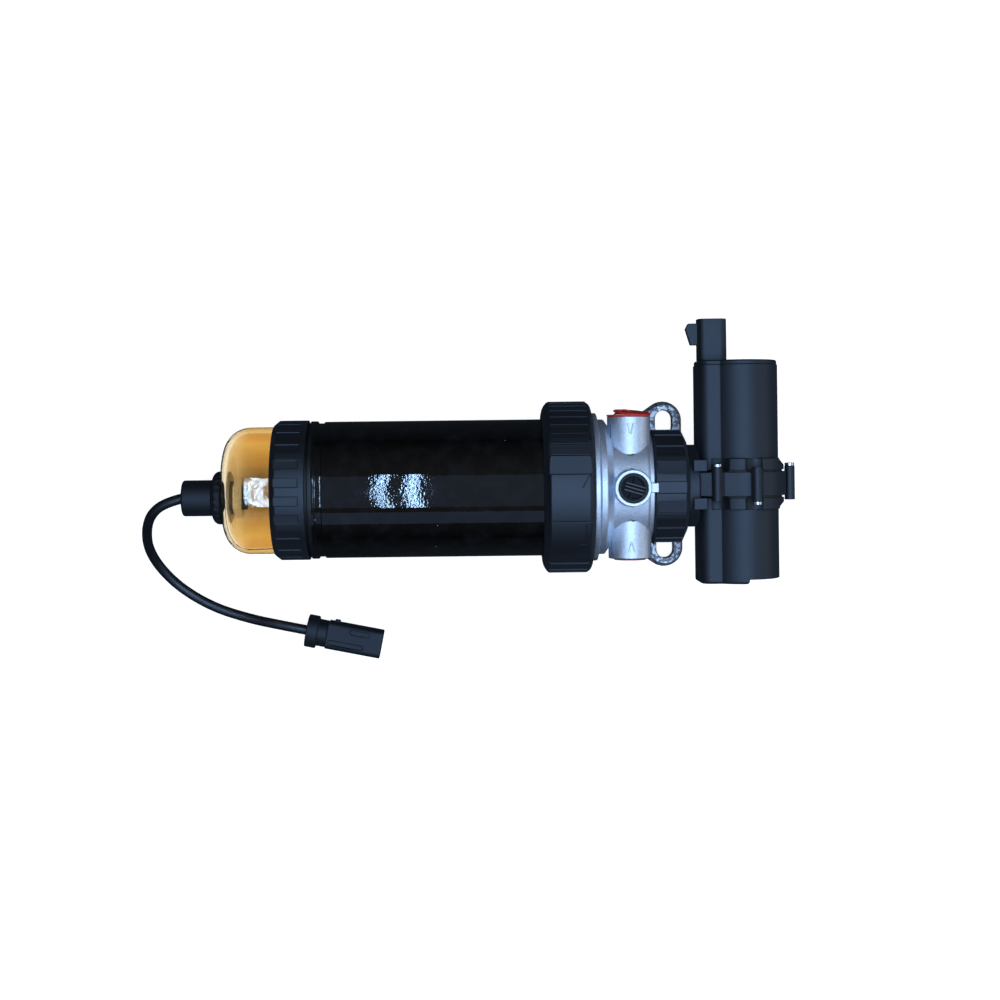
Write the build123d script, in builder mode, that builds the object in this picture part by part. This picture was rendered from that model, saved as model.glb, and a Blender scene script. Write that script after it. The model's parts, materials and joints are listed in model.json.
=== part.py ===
"""Fuel filter with a see-through bowl and an electric pump on its head.

Millimetres. +X runs along the filter axis from the bowl to the pump, +Y across
it through the slotted ears, and +Z up from the bracket pad that it lies on. The
origin is the middle of the two slots, on the pad's face.
"""

import os
from math import cos, pi, radians, sin, tan

from build123d import *

os.makedirs("parts", exist_ok=True)

# Clearances
RUNNING = 0.3  # radial gap of rings and plugs that turn or slide
END_GAP = 0.2  # axial gap of pieces that turn past each other
BEARING = 0.04  # shaft in its bush
FIT = 0.1  # pieces that sit in each other

# Filter element
AXIS_HEIGHT = 54.5
CAN_R = 42.5
CAN_WALL = 1.0
CAN_LENGTH = 146.1
CAN_FLANGE_THICK = 2.5
CAN_BEAD_STEP = 0.4
CAN_BEAD_LENGTH = 4.2
CAN_GROOVE_STEP = 0.9
CAN_GROOVE_LENGTH = 4.3
CAN_TAIL_STEP = 2.3
CAN_TAIL_WALL = 2.0
CAN_TAIL_LENGTH = 14.0
ELEMENT_SEAL_THICK = 2.2
MEDIA_TOP_GAP = 6.0
MEDIA_CAP_THICK = 2.5
MEDIA_CAP_REACH = 0.5
MEDIA_GAP = 2.7
MEDIA_INNER_R = 17.6
MEDIA_PLEATS = 44
MEDIA_SHEET = 0.9
TUBE_R = 16.0
TUBE_WALL = 1.2
TUBE_ROWS = 5
TUBE_SLOTS = 6
TUBE_SLOT_HALF_DEG = 8.0
GROMMET_LIP = 2.0

# Cast head
HEAD_R = 36.0
HEAD_CHAMFER = 1.0
HEAD_END_X = -17.2
HEAD_BODY_X = -39.7
HEAD_FLOOR_R = 23.0
HEAD_FLOOR_THICK = 10.0
HEAD_FLANGE_X = -50.9
HEAD_FLANGE_REACH = 1.5
HEAD_FLANGE_THICK = 3.2
SHOULDER_R = 42.0
SHOULDER_GROOVE = 0.8
SHOULDER_LENGTH = 3.7
SHOULDER_SLOPE = 4.0
SKIRT_STEP = 2.0
SKIRT_WALL = 3.5
SKIRT_LENGTH = 21.3
SPIGOT_R = 8.0
SPIGOT_WALL = 2.4
SPIGOT_LENGTH = 38.0
TAB_LENGTH = 5.0
TAB_WIDTH = 6.0
TAB_THICK = 2.0

# Ports of the head, and what closes them
PORT_X = -28.4
PORT_R = 13.2
PORT_RISE = 16.6
PORT_SPAN = 87.2
PORT_BORE_R = 9.2
PORT_BORE_DEPTH = 17.0
PASSAGE_R = 4.5
FRONT_X = -28.2
FRONT_R = 11.2
FRONT_RISE = 43.5
FRONT_BORE_R = 8.9
FRONT_BORE_DEPTH = 14.0
CAP_FLANGE_THICK = 1.0
CAP_LEFT_REACH = 4.3
CAP_RIGHT_REACH = 0.6
CAP_DEPTH = 11.0
CAP_WALL = 1.6
CAP_LOOP_X = -3.0
CAP_LOOP_HALF = 6.2
CAP_LOOP_RISE = 3.6
CAP_LOOP_THICK = 1.1
CAP_LOOP_WIDTH = 5.0
CAP_LOOP_SINK = 0.2
VENT_SINK = 1.5
VENT_SEAL_THICK = 1.5
VENT_SEAL_WALL = 2.3
VENT_TILT_DEG = -17.0
VENT_GROOVE_X = 0.9
VENT_GROOVE_LENGTH = 14.0
VENT_GROOVE_WIDTH = 1.1
VENT_GROOVE_SPACING = 2.1
VENT_DEPTH = 2.2
VENT_POCKET_START = 2.5
VENT_POCKET_END = 6.6
VENT_POCKET_WEB = 0.9

# Bracket pad and its slotted ears
PAD_THICK = 9.0
PAD_DRAFT_DEG = 14.0
SLOT_SPACING = 80.0
SLOT_WIDTH = 11.0
SLOT_LENGTH = 16.0
EAR_R = 12.5
EAR_WALL = 6.0
PAD_WIDTH = 56.0
PAD_LEFT_X = -41.2
TRUNK_INSET = 1.0
TRUNK_WIDTH = 40.0

# Union boss and its nut
UNION_R = 31.5
UNION_LENGTH = 13.0
UNION_BORE_R = 11.0
COLLET_R = 34.0
COLLET_THICK = 3.0
NUT_WALL = 3.4
NUT_RIB_DEPTH = 0.9
NUT_RIBS = 18
NUT_RIB_DEG = 8.0
NUT_LENGTH = 18.5
NUT_PLAIN = 1.5
NUT_SHOULDER = 3.0
NUT_NOSE_R = 29.0
NUT_CHAMFER = 0.6

# Large collar
COLLAR_WALL = 5.9
COLLAR_LENGTH = 30.4
COLLAR_ROUND = 3.8
COLLAR_FACE_DROP = 8.5
COLLAR_END_DROP = 4.6
RAMP_COUNT = 10
RAMP_DEG = 12.2
RAMP_DEPTH = 0.9
RAMP_START_DEG = 80.0
PAD_END_DEG = 111.3
PAD_LINE_WIDTH = 0.5
PAD_LINE_DEPTH = 0.4
LUG_COUNT = 4
LUG_DEG = 40.0
LUG_THICK = 3.0
LUG_REACH = 2.6
LUG_BITE = 2.0
LUG_OFFSET = 4.2

# Bowl and its ring
BOWL_FLANGE_REACH = 0.8
BOWL_WALL = 3.4
BOWL_DEPTH = 39.0
BOWL_CORNER = 16.5
BOWL_FLANGE_THICK = 4.0
BOWL_SEAL_THICK = 1.5
RING_WALL = 2.9
RING_LIP = 3.3
RING_CHAMFER = 3.6
RING_CHAMFER_DROP = 3.0
RING_RIB_DEPTH = 0.6
RING_RIBS = 24
RING_RIB_DEG = 7.5
RING_BAND = 3.7
RING_TOP_GAP = 1.7

# Sensor and drain wheel
SENSOR_Y = -4.3
SENSOR_R = 11.25
SENSOR_LENGTH = 18.8
SENSOR_LIP = 2.2
SENSOR_RECESS = 4.0
SENSOR_STEM_R = 7.5
SENSOR_STEM_LENGTH = 9.0
SENSOR_NUT_ACROSS = 22.0
SENSOR_NUT_THICK = 6.0
SENSOR_SEAL_R = 10.4
SENSOR_SEAL_THICK = 1.6
PROBE_R = 1.2
PROBE_SPACING = 8.0
PROBE_LENGTH = 22.0
WHEEL_R = 16.5
WHEEL_THICK = 6.0
WHEEL_ROUND = 3.4
WHEEL_FACE_DROP = 4.5
WHEEL_TEETH = 24
WHEEL_TOOTH_DEPTH = 0.5
WHEEL_POCKETS = 20
WHEEL_POCKET_R = 1.0
WHEEL_POCKET_DEPTH = 2.0
BOSS_R = 14.0
BOSS_LENGTH = 1.3

# Cable and its connector
CABLE_R = 3.2
CABLE_EXIT_R = 5.0
CABLE_SLEEVE_WALL = 1.6
BACKSHELL_R = 8.8
BACKSHELL_COLLAR_R = 10.6
BACKSHELL_LENGTH = 13.5
BACKSHELL_COLLAR = 7.2
BACKSHELL_MOUTH_DEPTH = 5.0
PLUG_BODY_WIDTH = 18.2
PLUG_BODY_HEIGHT = 15.0
PLUG_BODY_LENGTH = 36.0
PLUG_BODY_CORNER = 3.5
PLUG_CAVITY_DEPTH = 17.0
PLUG_WALL = 1.7
PLUG_PIN_R = 0.8
PLUG_PIN_LENGTH = 11.0
PLUG_PIN_SPACING = 4.5
PLUG_SLOT_LENGTH = 23.0
PLUG_SLOT_WIDTH = 3.0
PLUG_SLOT_DEPTH = 0.9
PLUG_SLOT_X = 13.0
PLUG_SLOT_Y = -4.4
PLUG_LATCH_LENGTH = 13.0
PLUG_LATCH_WIDTH = 3.2
PLUG_LATCH_RISE = 0.9
PLUG_LATCH_X = 21.0
PLUG_LATCH_Y = 4.6
PLUG_KEY_X = 3.5
PLUG_KEY_LENGTH = 3.4
PLUG_KEY_RISE = 1.2

# Pump
PUMP_X = 43.0
PUMP_Y = 1.2
PUMP_R = 23.0
PUMP_WALL = 3.0
PUMP_TOP_Y = 73.7
PUMP_BOTTOM_Y = -58.7
LOBE_LEFT_X = 15.1
LOBE_RIGHT_X = 41.8
LOBE_HALF_HEIGHT = 17.5
LOBE_CORNER = 7.0
FOOT_DROP = 2.8
FOOT_STEP_X = 44.3
FOOT_ROUND = 2.0
BAND_HALF_LENGTH = 7.3
BAND_R = 27.5
BAND_NECK_DROP = 4.0
BAND_NECK_WEB = 2.0
CUFF_LENGTH = 7.1
CUFF_SLOPE = 4.2
CUFF_SLOPE_DEG = 70.0
CUFF_R = 26.4
GASKET_THICK = 1.2
GASKET_INSET = 1.2
SCREW_CIRCLE_R = 30.3
SCREW_ANGLES = (-37.0, 10.0, 90.0, 170.0, 217.0)
SCREW_R = 1.6
SCREW_HEAD_R = 3.0
SCREW_HEAD_THICK = 2.0
SCREW_BLIND = 2.0
SCREW_BOSS_R = 3.2
SCREW_BOSS_HALF_LENGTH = 10.5
SCREW_RIB_DEG = 9.0
SCREW_RIB_R = 1.0
SCREW_POCKET_R = 7.4
NECK_R = 25.6
NECK_END_X = 14.8
NECK_CHAMFER = 1.0
NECK_FLANGE_R = 31.0
NECK_FLANGE_THICK = 4.0
NECK_BORE_R = 9.0
NECK_SEAL_THICK = 1.6
NECK_SEAL_WIDTH = 3.0
NECK_SEAL_INSET = 2.0
NECK_LUG_START = 8.2
NECK_LUG_WIDTH = 6.9
NECK_LUG_LEFT_X = 10.2
NECK_LUG_RIGHT_X = 18.2
NECK_LUG_RISE = 1.8
END_CAP_THICK = 2.8
END_CAP_INSET = 0.5
END_CAP_ROUND = 1.2

# Pump connector
SOCKET_X = 25.3
SOCKET_WIDTH = 18.0
SOCKET_HEIGHT = 15.0
SOCKET_LENGTH = 26.1
SOCKET_CORNER = 4.5
SOCKET_WALL = 1.8
SOCKET_DEPTH = 16.0
LATCH_START = 9.9
LATCH_LENGTH = 13.5
LATCH_REACH = 7.3
LATCH_FOOT_REACH = 4.2
LATCH_CORNER = 2.6
LATCH_WIDTH = 6.0
TERMINAL_THICK = 0.8
TERMINAL_WIDTH = 2.8
TERMINAL_LENGTH = 12.0
TERMINAL_SPACING = 7.0

# Motor and impeller
SHAFT_R = 2.5
FLUX_R = 20.6
FLUX_WALL = 1.8
FLUX_LENGTH = 58.0
STACK_LOW_Y = -26.0
PLATE_THICK = 4.0
PLATE_HOLE_R = 3.0
PLATE_HOLE_SHARE = 0.72
CHAMBER_WALL = 2.3
OUTLET_BORE_R = 17.0
MAGNET_START = 3.0
MAGNET_THICK = 3.4
MAGNET_DEG = 130.0
MAGNET_LENGTH = 44.0
AIR_GAP = 0.5
ARMATURE_SLOTS = 12
ARMATURE_SLOT_WIDTH = 1.2
ARMATURE_SLOT_DEPTH = 5.0
ARMATURE_LENGTH = 38.0
COMMUTATOR_R = 8.0
COMMUTATOR_LENGTH = 8.0
COMMUTATOR_CUT_WIDTH = 0.5
COMMUTATOR_CUT_DEPTH = 0.8
BRUSH_PLATE_THICK = 10.0
BRUSH_PLATE_GAP = 1.0
BRUSH_WIDTH = 5.0
BRUSH_LENGTH = 7.0
BRUSH_SPRING_ROOM = 0.5
BUSH_R = 5.5
BUSH_LENGTH = 4.0
BUSH_BOSS_R = 9.0
IMPELLER_THICK = 4.0
IMPELLER_VANES = 28
VANE_DEPTH = 3.2
VANE_GAP = 2.0

# Sizes and places that follow
SKIRT_R = CAN_R + SKIRT_STEP
HEAD_FLANGE_R = SKIRT_R + HEAD_FLANGE_REACH
CAN_FLANGE_R = SKIRT_R + LUG_REACH - RUNNING
COLLAR_CAVITY_R = SKIRT_R + LUG_REACH + RUNNING
COLLAR_R = COLLAR_CAVITY_R + COLLAR_WALL
CAN_BEAD_R = CAN_R + CAN_BEAD_STEP
CAN_GROOVE_R = CAN_R - CAN_GROOVE_STEP
CAN_TAIL_R = CAN_R - CAN_TAIL_STEP
MEDIA_R = CAN_R - CAN_WALL - MEDIA_GAP
BOWL_FLANGE_R = CAN_TAIL_R + FIT
BOWL_R = BOWL_FLANGE_R - BOWL_FLANGE_REACH
RING_R = BOWL_FLANGE_R + RUNNING + RING_WALL
NUT_R = UNION_R + RUNNING + NUT_WALL
SKIRT_END_X = HEAD_FLANGE_X - SKIRT_LENGTH
SHOULDER_START_X = HEAD_FLANGE_X + HEAD_FLANGE_THICK + SHOULDER_GROOVE
SHOULDER_END_X = SHOULDER_START_X + SHOULDER_LENGTH
CAN_TOP_X = SKIRT_END_X - ELEMENT_SEAL_THICK
CAN_LOW_X = CAN_TOP_X - CAN_LENGTH
BEAD_END_X = CAN_LOW_X - CAN_BEAD_LENGTH
CAN_END_X = BEAD_END_X - CAN_TAIL_LENGTH
CAN_STEP_X = CAN_LOW_X + CAN_GROOVE_LENGTH + CAN_WALL
BOWL_TOP_X = CAN_END_X - BOWL_SEAL_THICK
BOWL_FACE_X = BOWL_TOP_X - BOWL_DEPTH
BOSS_FACE_X = BOWL_FACE_X - BOSS_LENGTH
SENSOR_FACE_X = BOSS_FACE_X - END_GAP - WHEEL_THICK - END_GAP
SENSOR_END_X = SENSOR_FACE_X - SENSOR_LENGTH
SENSOR_NUT_X = BOWL_FACE_X + BOWL_WALL + SENSOR_SEAL_THICK
SENSOR_STEM_END_X = SENSOR_NUT_X + SENSOR_STEM_LENGTH
UNION_END_X = HEAD_END_X + UNION_LENGTH
NECK_FACE_X = UNION_END_X + NECK_SEAL_THICK
NUT_START_X = HEAD_END_X + COLLET_THICK + 2 * END_GAP
LUG_PLANE_X = HEAD_FLANGE_X - LUG_OFFSET
PORT_Z = AXIS_HEIGHT + PORT_RISE
FRONT_TOP_Z = AXIS_HEIGHT + FRONT_RISE
VENT_TOP_Z = FRONT_TOP_Z - VENT_SINK
MOTOR_BORE_R = FLUX_R + FIT
HOUSING_START = BAND_HALF_LENGTH + GASKET_THICK
SCREW_HOLE_LENGTH = 2 * SCREW_BOSS_HALF_LENGTH - SCREW_BLIND
IMPELLER_R = FLUX_R - CHAMBER_WALL - RUNNING
CHAMBER_Y = STACK_LOW_Y + PLATE_THICK
UPPER_PLATE_Y = CHAMBER_Y + IMPELLER_THICK + 2 * END_GAP
FLUX_Y = UPPER_PLATE_Y + PLATE_THICK
BRUSH_PLATE_Y = FLUX_Y + FLUX_LENGTH
STACK_TOP_Y = BRUSH_PLATE_Y + BRUSH_PLATE_THICK
BOSS_Y = PUMP_TOP_Y - PUMP_WALL - BUSH_LENGTH
SOCKET_Y = PUMP_TOP_Y + END_CAP_THICK
PLUG_AXIS_HEIGHT = BACKSHELL_COLLAR_R

PROFILE = Plane(origin=(0, 0, AXIS_HEIGHT), x_dir=(1, 0, 0), z_dir=(0, -1, 0))
FILTER_AXIS = Axis((0, 0, AXIS_HEIGHT), (1, 0, 0))
SENSOR_PROFILE = PROFILE.offset(-SENSOR_Y)
SENSOR_AXIS = Axis((0, SENSOR_Y, AXIS_HEIGHT), (1, 0, 0))
PUMP_PROFILE = Plane(origin=(PUMP_X, PUMP_Y, AXIS_HEIGHT), x_dir=(1, 0, 0), z_dir=(0, 0, 1))
PUMP_AXIS = Axis((PUMP_X, PUMP_Y, AXIS_HEIGHT), (0, 1, 0))


def across(x, y=0.0):
    """Plane across the filter axis: its x runs along +Y and its y along +Z."""
    return Plane(origin=(x, y, AXIS_HEIGHT), x_dir=(0, 1, 0), z_dir=(1, 0, 0))


def pump_level(y):
    """Plane across the pump axis: its x runs along +Z and its y along +X."""
    return Plane(origin=(PUMP_X, PUMP_Y + y, AXIS_HEIGHT), x_dir=(0, 0, 1), z_dir=(0, 1, 0))


def port_face(side):
    """End face of a side port, looking outwards."""
    return Plane(origin=(PORT_X, side * PORT_SPAN / 2, PORT_Z), x_dir=(1, 0, 0), z_dir=(0, side, 0))


def polar(radius, degrees):
    """Point at a radius and an angle."""
    return (radius * cos(radians(degrees)), radius * sin(radians(degrees)))


def wedge(inner_r, outer_r, start_deg, end_deg):
    """Corners of a four-sided wedge between two radii and two angles."""
    return [
        polar(inner_r, start_deg),
        polar(outer_r, start_deg),
        polar(outer_r, end_deg),
        polar(inner_r, end_deg),
    ]


def lugs(inner_r, outer_r, count, lug_deg):
    """Draws evenly spaced arc-shaped lugs, the first one centred on the sketch's x."""
    gap = 360 / count - lug_deg
    Circle(outer_r)
    Circle(inner_r, mode=Mode.SUBTRACT)
    with PolarLocations(0, count, start_angle=180 / count):
        Polygon(*wedge(inner_r / 2, 2 * outer_r, -gap / 2, gap / 2), align=None, mode=Mode.SUBTRACT)


def rib_gaps(root_r, outer_r, count, rib_deg):
    """Draws the gaps between evenly spaced ribs, the first rib centred on the sketch's x."""
    gap = 360 / count - rib_deg
    with PolarLocations(0, count, start_angle=180 / count):
        Polygon(*wedge(root_r, 1.1 * outer_r, -gap / 2, gap / 2), align=None)


def pump_outline(grow=0.0):
    """Draws the pump's cross-section: a round casing with a flat-sided lobe on its left."""
    lobe_centre = (LOBE_LEFT_X + LOBE_RIGHT_X) / 2 - PUMP_X
    Circle(PUMP_R + grow)
    with Locations((0, lobe_centre)):
        RectangleRounded(
            2 * (LOBE_HALF_HEIGHT + grow),
            LOBE_RIGHT_X - LOBE_LEFT_X + 2 * grow,
            LOBE_CORNER,
        )


def screw_places():
    """Places of the flange screws, in the pump's cross-section."""
    return [polar(SCREW_CIRCLE_R, angle) for angle in SCREW_ANGLES]


def finish(part, name, colour):
    """Labels, colours and writes one piece."""
    part.label = name
    part.color = Color(*colour)
    export_step(part, f"parts/{name}.step")


BLACK = (0.06, 0.07, 0.08)
STEEL = (0.62, 0.64, 0.67)
CAST = (0.72, 0.74, 0.76)
RUBBER = (0.03, 0.03, 0.03)
RED = (0.85, 0.08, 0.06)
AMBER = (0.9, 0.62, 0.22)
PAPER = (0.8, 0.62, 0.3)
COPPER = (0.75, 0.42, 0.2)
BRASS = (0.8, 0.66, 0.3)


# Cast head
with BuildPart() as filter_head:
    with BuildSketch(PROFILE):
        with BuildLine():
            Polyline(
                (SKIRT_END_X, SKIRT_R - SKIRT_WALL),
                (SKIRT_END_X, SKIRT_R),
                (HEAD_FLANGE_X, SKIRT_R),
                (HEAD_FLANGE_X, HEAD_FLANGE_R),
                (HEAD_FLANGE_X + HEAD_FLANGE_THICK, HEAD_FLANGE_R),
                (HEAD_FLANGE_X + HEAD_FLANGE_THICK, SHOULDER_R - 2 * SHOULDER_GROOVE),
                (SHOULDER_START_X, SHOULDER_R),
                (SHOULDER_END_X, SHOULDER_R),
                (SHOULDER_END_X + SHOULDER_SLOPE, HEAD_R),
                (HEAD_END_X - HEAD_CHAMFER, HEAD_R),
                (HEAD_END_X, HEAD_R - HEAD_CHAMFER),
                (HEAD_END_X, COLLET_R),
                (HEAD_END_X + COLLET_THICK, COLLET_R),
                (HEAD_END_X + COLLET_THICK, UNION_R),
                (UNION_END_X, UNION_R),
                (UNION_END_X, UNION_BORE_R),
                (HEAD_BODY_X + HEAD_FLOOR_THICK, UNION_BORE_R),
                (HEAD_BODY_X + HEAD_FLOOR_THICK, 0),
                (HEAD_BODY_X, 0),
                (HEAD_BODY_X, HEAD_FLOOR_R),
                (HEAD_FLANGE_X, SKIRT_R - SKIRT_WALL),
                close=True,
            )
        make_face()
    revolve(axis=FILTER_AXIS)
    # Side ports, one cylinder right across the top of the body
    with BuildSketch(port_face(-1)):
        Circle(PORT_R)
    extrude(amount=-PORT_SPAN)
    # Front port
    with BuildSketch(Plane(origin=(FRONT_X, 0, AXIS_HEIGHT))):
        Circle(FRONT_R)
    extrude(amount=FRONT_RISE)
    # Index tab that stands over the union nut
    with BuildSketch(Plane(origin=(HEAD_END_X, 0, AXIS_HEIGHT + NUT_R + RUNNING))):
        Rectangle(2 * TAB_LENGTH, TAB_WIDTH)
    extrude(amount=TAB_THICK)
    # Drafted pad with its ears, and the trunk that carries the head
    ear_y = SLOT_SPACING / 2 + SLOT_LENGTH / 2 + EAR_WALL - EAR_R
    with BuildSketch(Plane.XY):
        with Locations((0, ear_y), (0, -ear_y)):
            Circle(EAR_R)
        with Locations(((PAD_LEFT_X + EAR_R) / 2, 0)):
            Rectangle(EAR_R - PAD_LEFT_X, PAD_WIDTH)
        make_hull()
    extrude(amount=PAD_THICK, taper=PAD_DRAFT_DEG)
    trunk_left_x = PAD_LEFT_X + PAD_THICK * tan(radians(PAD_DRAFT_DEG)) + TRUNK_INSET
    with BuildSketch(Plane.XY):
        with Locations(((trunk_left_x + HEAD_END_X) / 2, 0)):
            Rectangle(HEAD_END_X - trunk_left_x, TRUNK_WIDTH)
    extrude(amount=AXIS_HEIGHT - HEAD_R / 2)
    # Lugs that the collar turns behind
    with BuildSketch(across(LUG_PLANE_X - LUG_THICK)):
        lugs(SKIRT_R - SKIRT_WALL / 2, SKIRT_R + LUG_REACH, LUG_COUNT, LUG_DEG)
    extrude(amount=-LUG_THICK)
    # Spigot for the element, with the outlet passage
    with BuildSketch(across(HEAD_BODY_X)):
        Circle(SPIGOT_R)
    extrude(amount=-SPIGOT_LENGTH)
    with BuildSketch(across(PORT_X)):
        Circle(SPIGOT_R - SPIGOT_WALL)
    extrude(amount=HEAD_BODY_X - SPIGOT_LENGTH - PORT_X, mode=Mode.SUBTRACT)
    # Bores
    for side in (-1, 1):
        with BuildSketch(port_face(side)):
            Circle(PORT_BORE_R)
        extrude(amount=-PORT_BORE_DEPTH, mode=Mode.SUBTRACT)
    with BuildSketch(port_face(-1)):
        Circle(PASSAGE_R)
    extrude(amount=-PORT_SPAN, mode=Mode.SUBTRACT)
    with BuildSketch(Plane(origin=(FRONT_X, 0, FRONT_TOP_Z))):
        Circle(FRONT_BORE_R)
    extrude(amount=-FRONT_BORE_DEPTH, mode=Mode.SUBTRACT)
    with BuildSketch(Plane(origin=(PORT_X, 0, AXIS_HEIGHT))):
        Circle(PASSAGE_R)
    extrude(amount=FRONT_RISE, mode=Mode.SUBTRACT)
    with BuildSketch(Plane.XY):
        with Locations((0, SLOT_SPACING / 2), (0, -SLOT_SPACING / 2)):
            SlotOverall(SLOT_LENGTH, SLOT_WIDTH, rotation=90)
    extrude(amount=PAD_THICK, mode=Mode.SUBTRACT)

# Filter can
with BuildPart() as element_canister:
    with BuildSketch(PROFILE):
        with BuildLine():
            Polyline(
                (CAN_TOP_X, CAN_R - CAN_WALL),
                (CAN_TOP_X, CAN_FLANGE_R),
                (CAN_TOP_X - CAN_FLANGE_THICK, CAN_FLANGE_R),
                (CAN_TOP_X - CAN_FLANGE_THICK, CAN_R),
                (CAN_LOW_X + CAN_GROOVE_LENGTH, CAN_R),
                (CAN_LOW_X + CAN_GROOVE_LENGTH, CAN_GROOVE_R),
                (CAN_LOW_X, CAN_GROOVE_R),
                (CAN_LOW_X, CAN_BEAD_R),
                (BEAD_END_X, CAN_BEAD_R),
                (BEAD_END_X, CAN_TAIL_R),
                (CAN_END_X, CAN_TAIL_R),
                (CAN_END_X, CAN_TAIL_R - CAN_TAIL_WALL),
                (CAN_STEP_X, CAN_TAIL_R - CAN_TAIL_WALL),
                (CAN_STEP_X, CAN_R - CAN_WALL),
                close=True,
            )
        make_face()
    revolve(axis=FILTER_AXIS)

with BuildPart() as element_seal:
    with BuildSketch(across(CAN_TOP_X)):
        Circle(SKIRT_R - FIT)
        Circle(CAN_R - CAN_WALL + FIT, mode=Mode.SUBTRACT)
    extrude(amount=ELEMENT_SEAL_THICK)

# Pleated element between its two caps
media_top_x = CAN_TOP_X - MEDIA_TOP_GAP
media_low_x = CAN_STEP_X + MEDIA_CAP_THICK
media_length = media_top_x - MEDIA_CAP_THICK - media_low_x

with BuildPart() as media_bottom_cap:
    with BuildSketch(across(CAN_STEP_X)):
        Circle(CAN_R - CAN_WALL - RUNNING)
        Circle(SPIGOT_R, mode=Mode.SUBTRACT)
    extrude(amount=MEDIA_CAP_THICK)

with BuildPart() as media_top_cap:
    with BuildSketch(across(media_top_x - MEDIA_CAP_THICK)):
        Circle(MEDIA_R + MEDIA_CAP_REACH)
        Circle(SPIGOT_R + 3 * FIT + GROMMET_LIP, mode=Mode.SUBTRACT)
    extrude(amount=MEDIA_CAP_THICK)

with BuildPart() as filter_media:
    # The folded sheet meets itself at narrow angles, so its ridges and valleys are thick
    ridge_thick = 6 * MEDIA_SHEET
    valley_thick = 2 * MEDIA_SHEET
    pleat_deg = 360 / MEDIA_PLEATS
    with BuildSketch(across(media_low_x)):
        outer_points = []
        inner_points = []
        for i in range(MEDIA_PLEATS):
            outer_points.append(polar(MEDIA_R, i * pleat_deg))
            outer_points.append(polar(MEDIA_INNER_R + valley_thick, (i + 0.5) * pleat_deg))
            inner_points.append(polar(MEDIA_R - ridge_thick, i * pleat_deg))
            inner_points.append(polar(MEDIA_INNER_R, (i + 0.5) * pleat_deg))
        Polygon(*outer_points, align=None)
        Polygon(*inner_points, align=None, mode=Mode.SUBTRACT)
    extrude(amount=media_length)

with BuildPart() as centre_tube:
    with BuildSketch(across(media_low_x)):
        Circle(TUBE_R)
        Circle(TUBE_R - TUBE_WALL, mode=Mode.SUBTRACT)
    extrude(amount=media_length)
    row_pitch = media_length / TUBE_ROWS
    for row in range(TUBE_ROWS):
        with BuildSketch(across(media_low_x + (row + 0.3) * row_pitch)):
            with PolarLocations(0, TUBE_SLOTS):
                slot = wedge(TUBE_R / 2, 1.5 * TUBE_R, -TUBE_SLOT_HALF_DEG, TUBE_SLOT_HALF_DEG)
                Polygon(*slot, align=None)
        extrude(amount=0.4 * row_pitch, mode=Mode.SUBTRACT)

with BuildPart() as spigot_grommet:
    with BuildSketch(PROFILE):
        lip_r = SPIGOT_R + FIT
        with BuildLine():
            Polyline(
                (media_top_x + GROMMET_LIP, lip_r),
                (media_top_x + GROMMET_LIP, lip_r + 3 * GROMMET_LIP),
                (media_top_x, lip_r + 3 * GROMMET_LIP),
                (media_top_x, lip_r + GROMMET_LIP),
                (media_top_x - MEDIA_CAP_THICK, lip_r + GROMMET_LIP),
                (media_top_x - MEDIA_CAP_THICK, lip_r),
                close=True,
            )
        make_face()
    revolve(axis=FILTER_AXIS)

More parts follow.
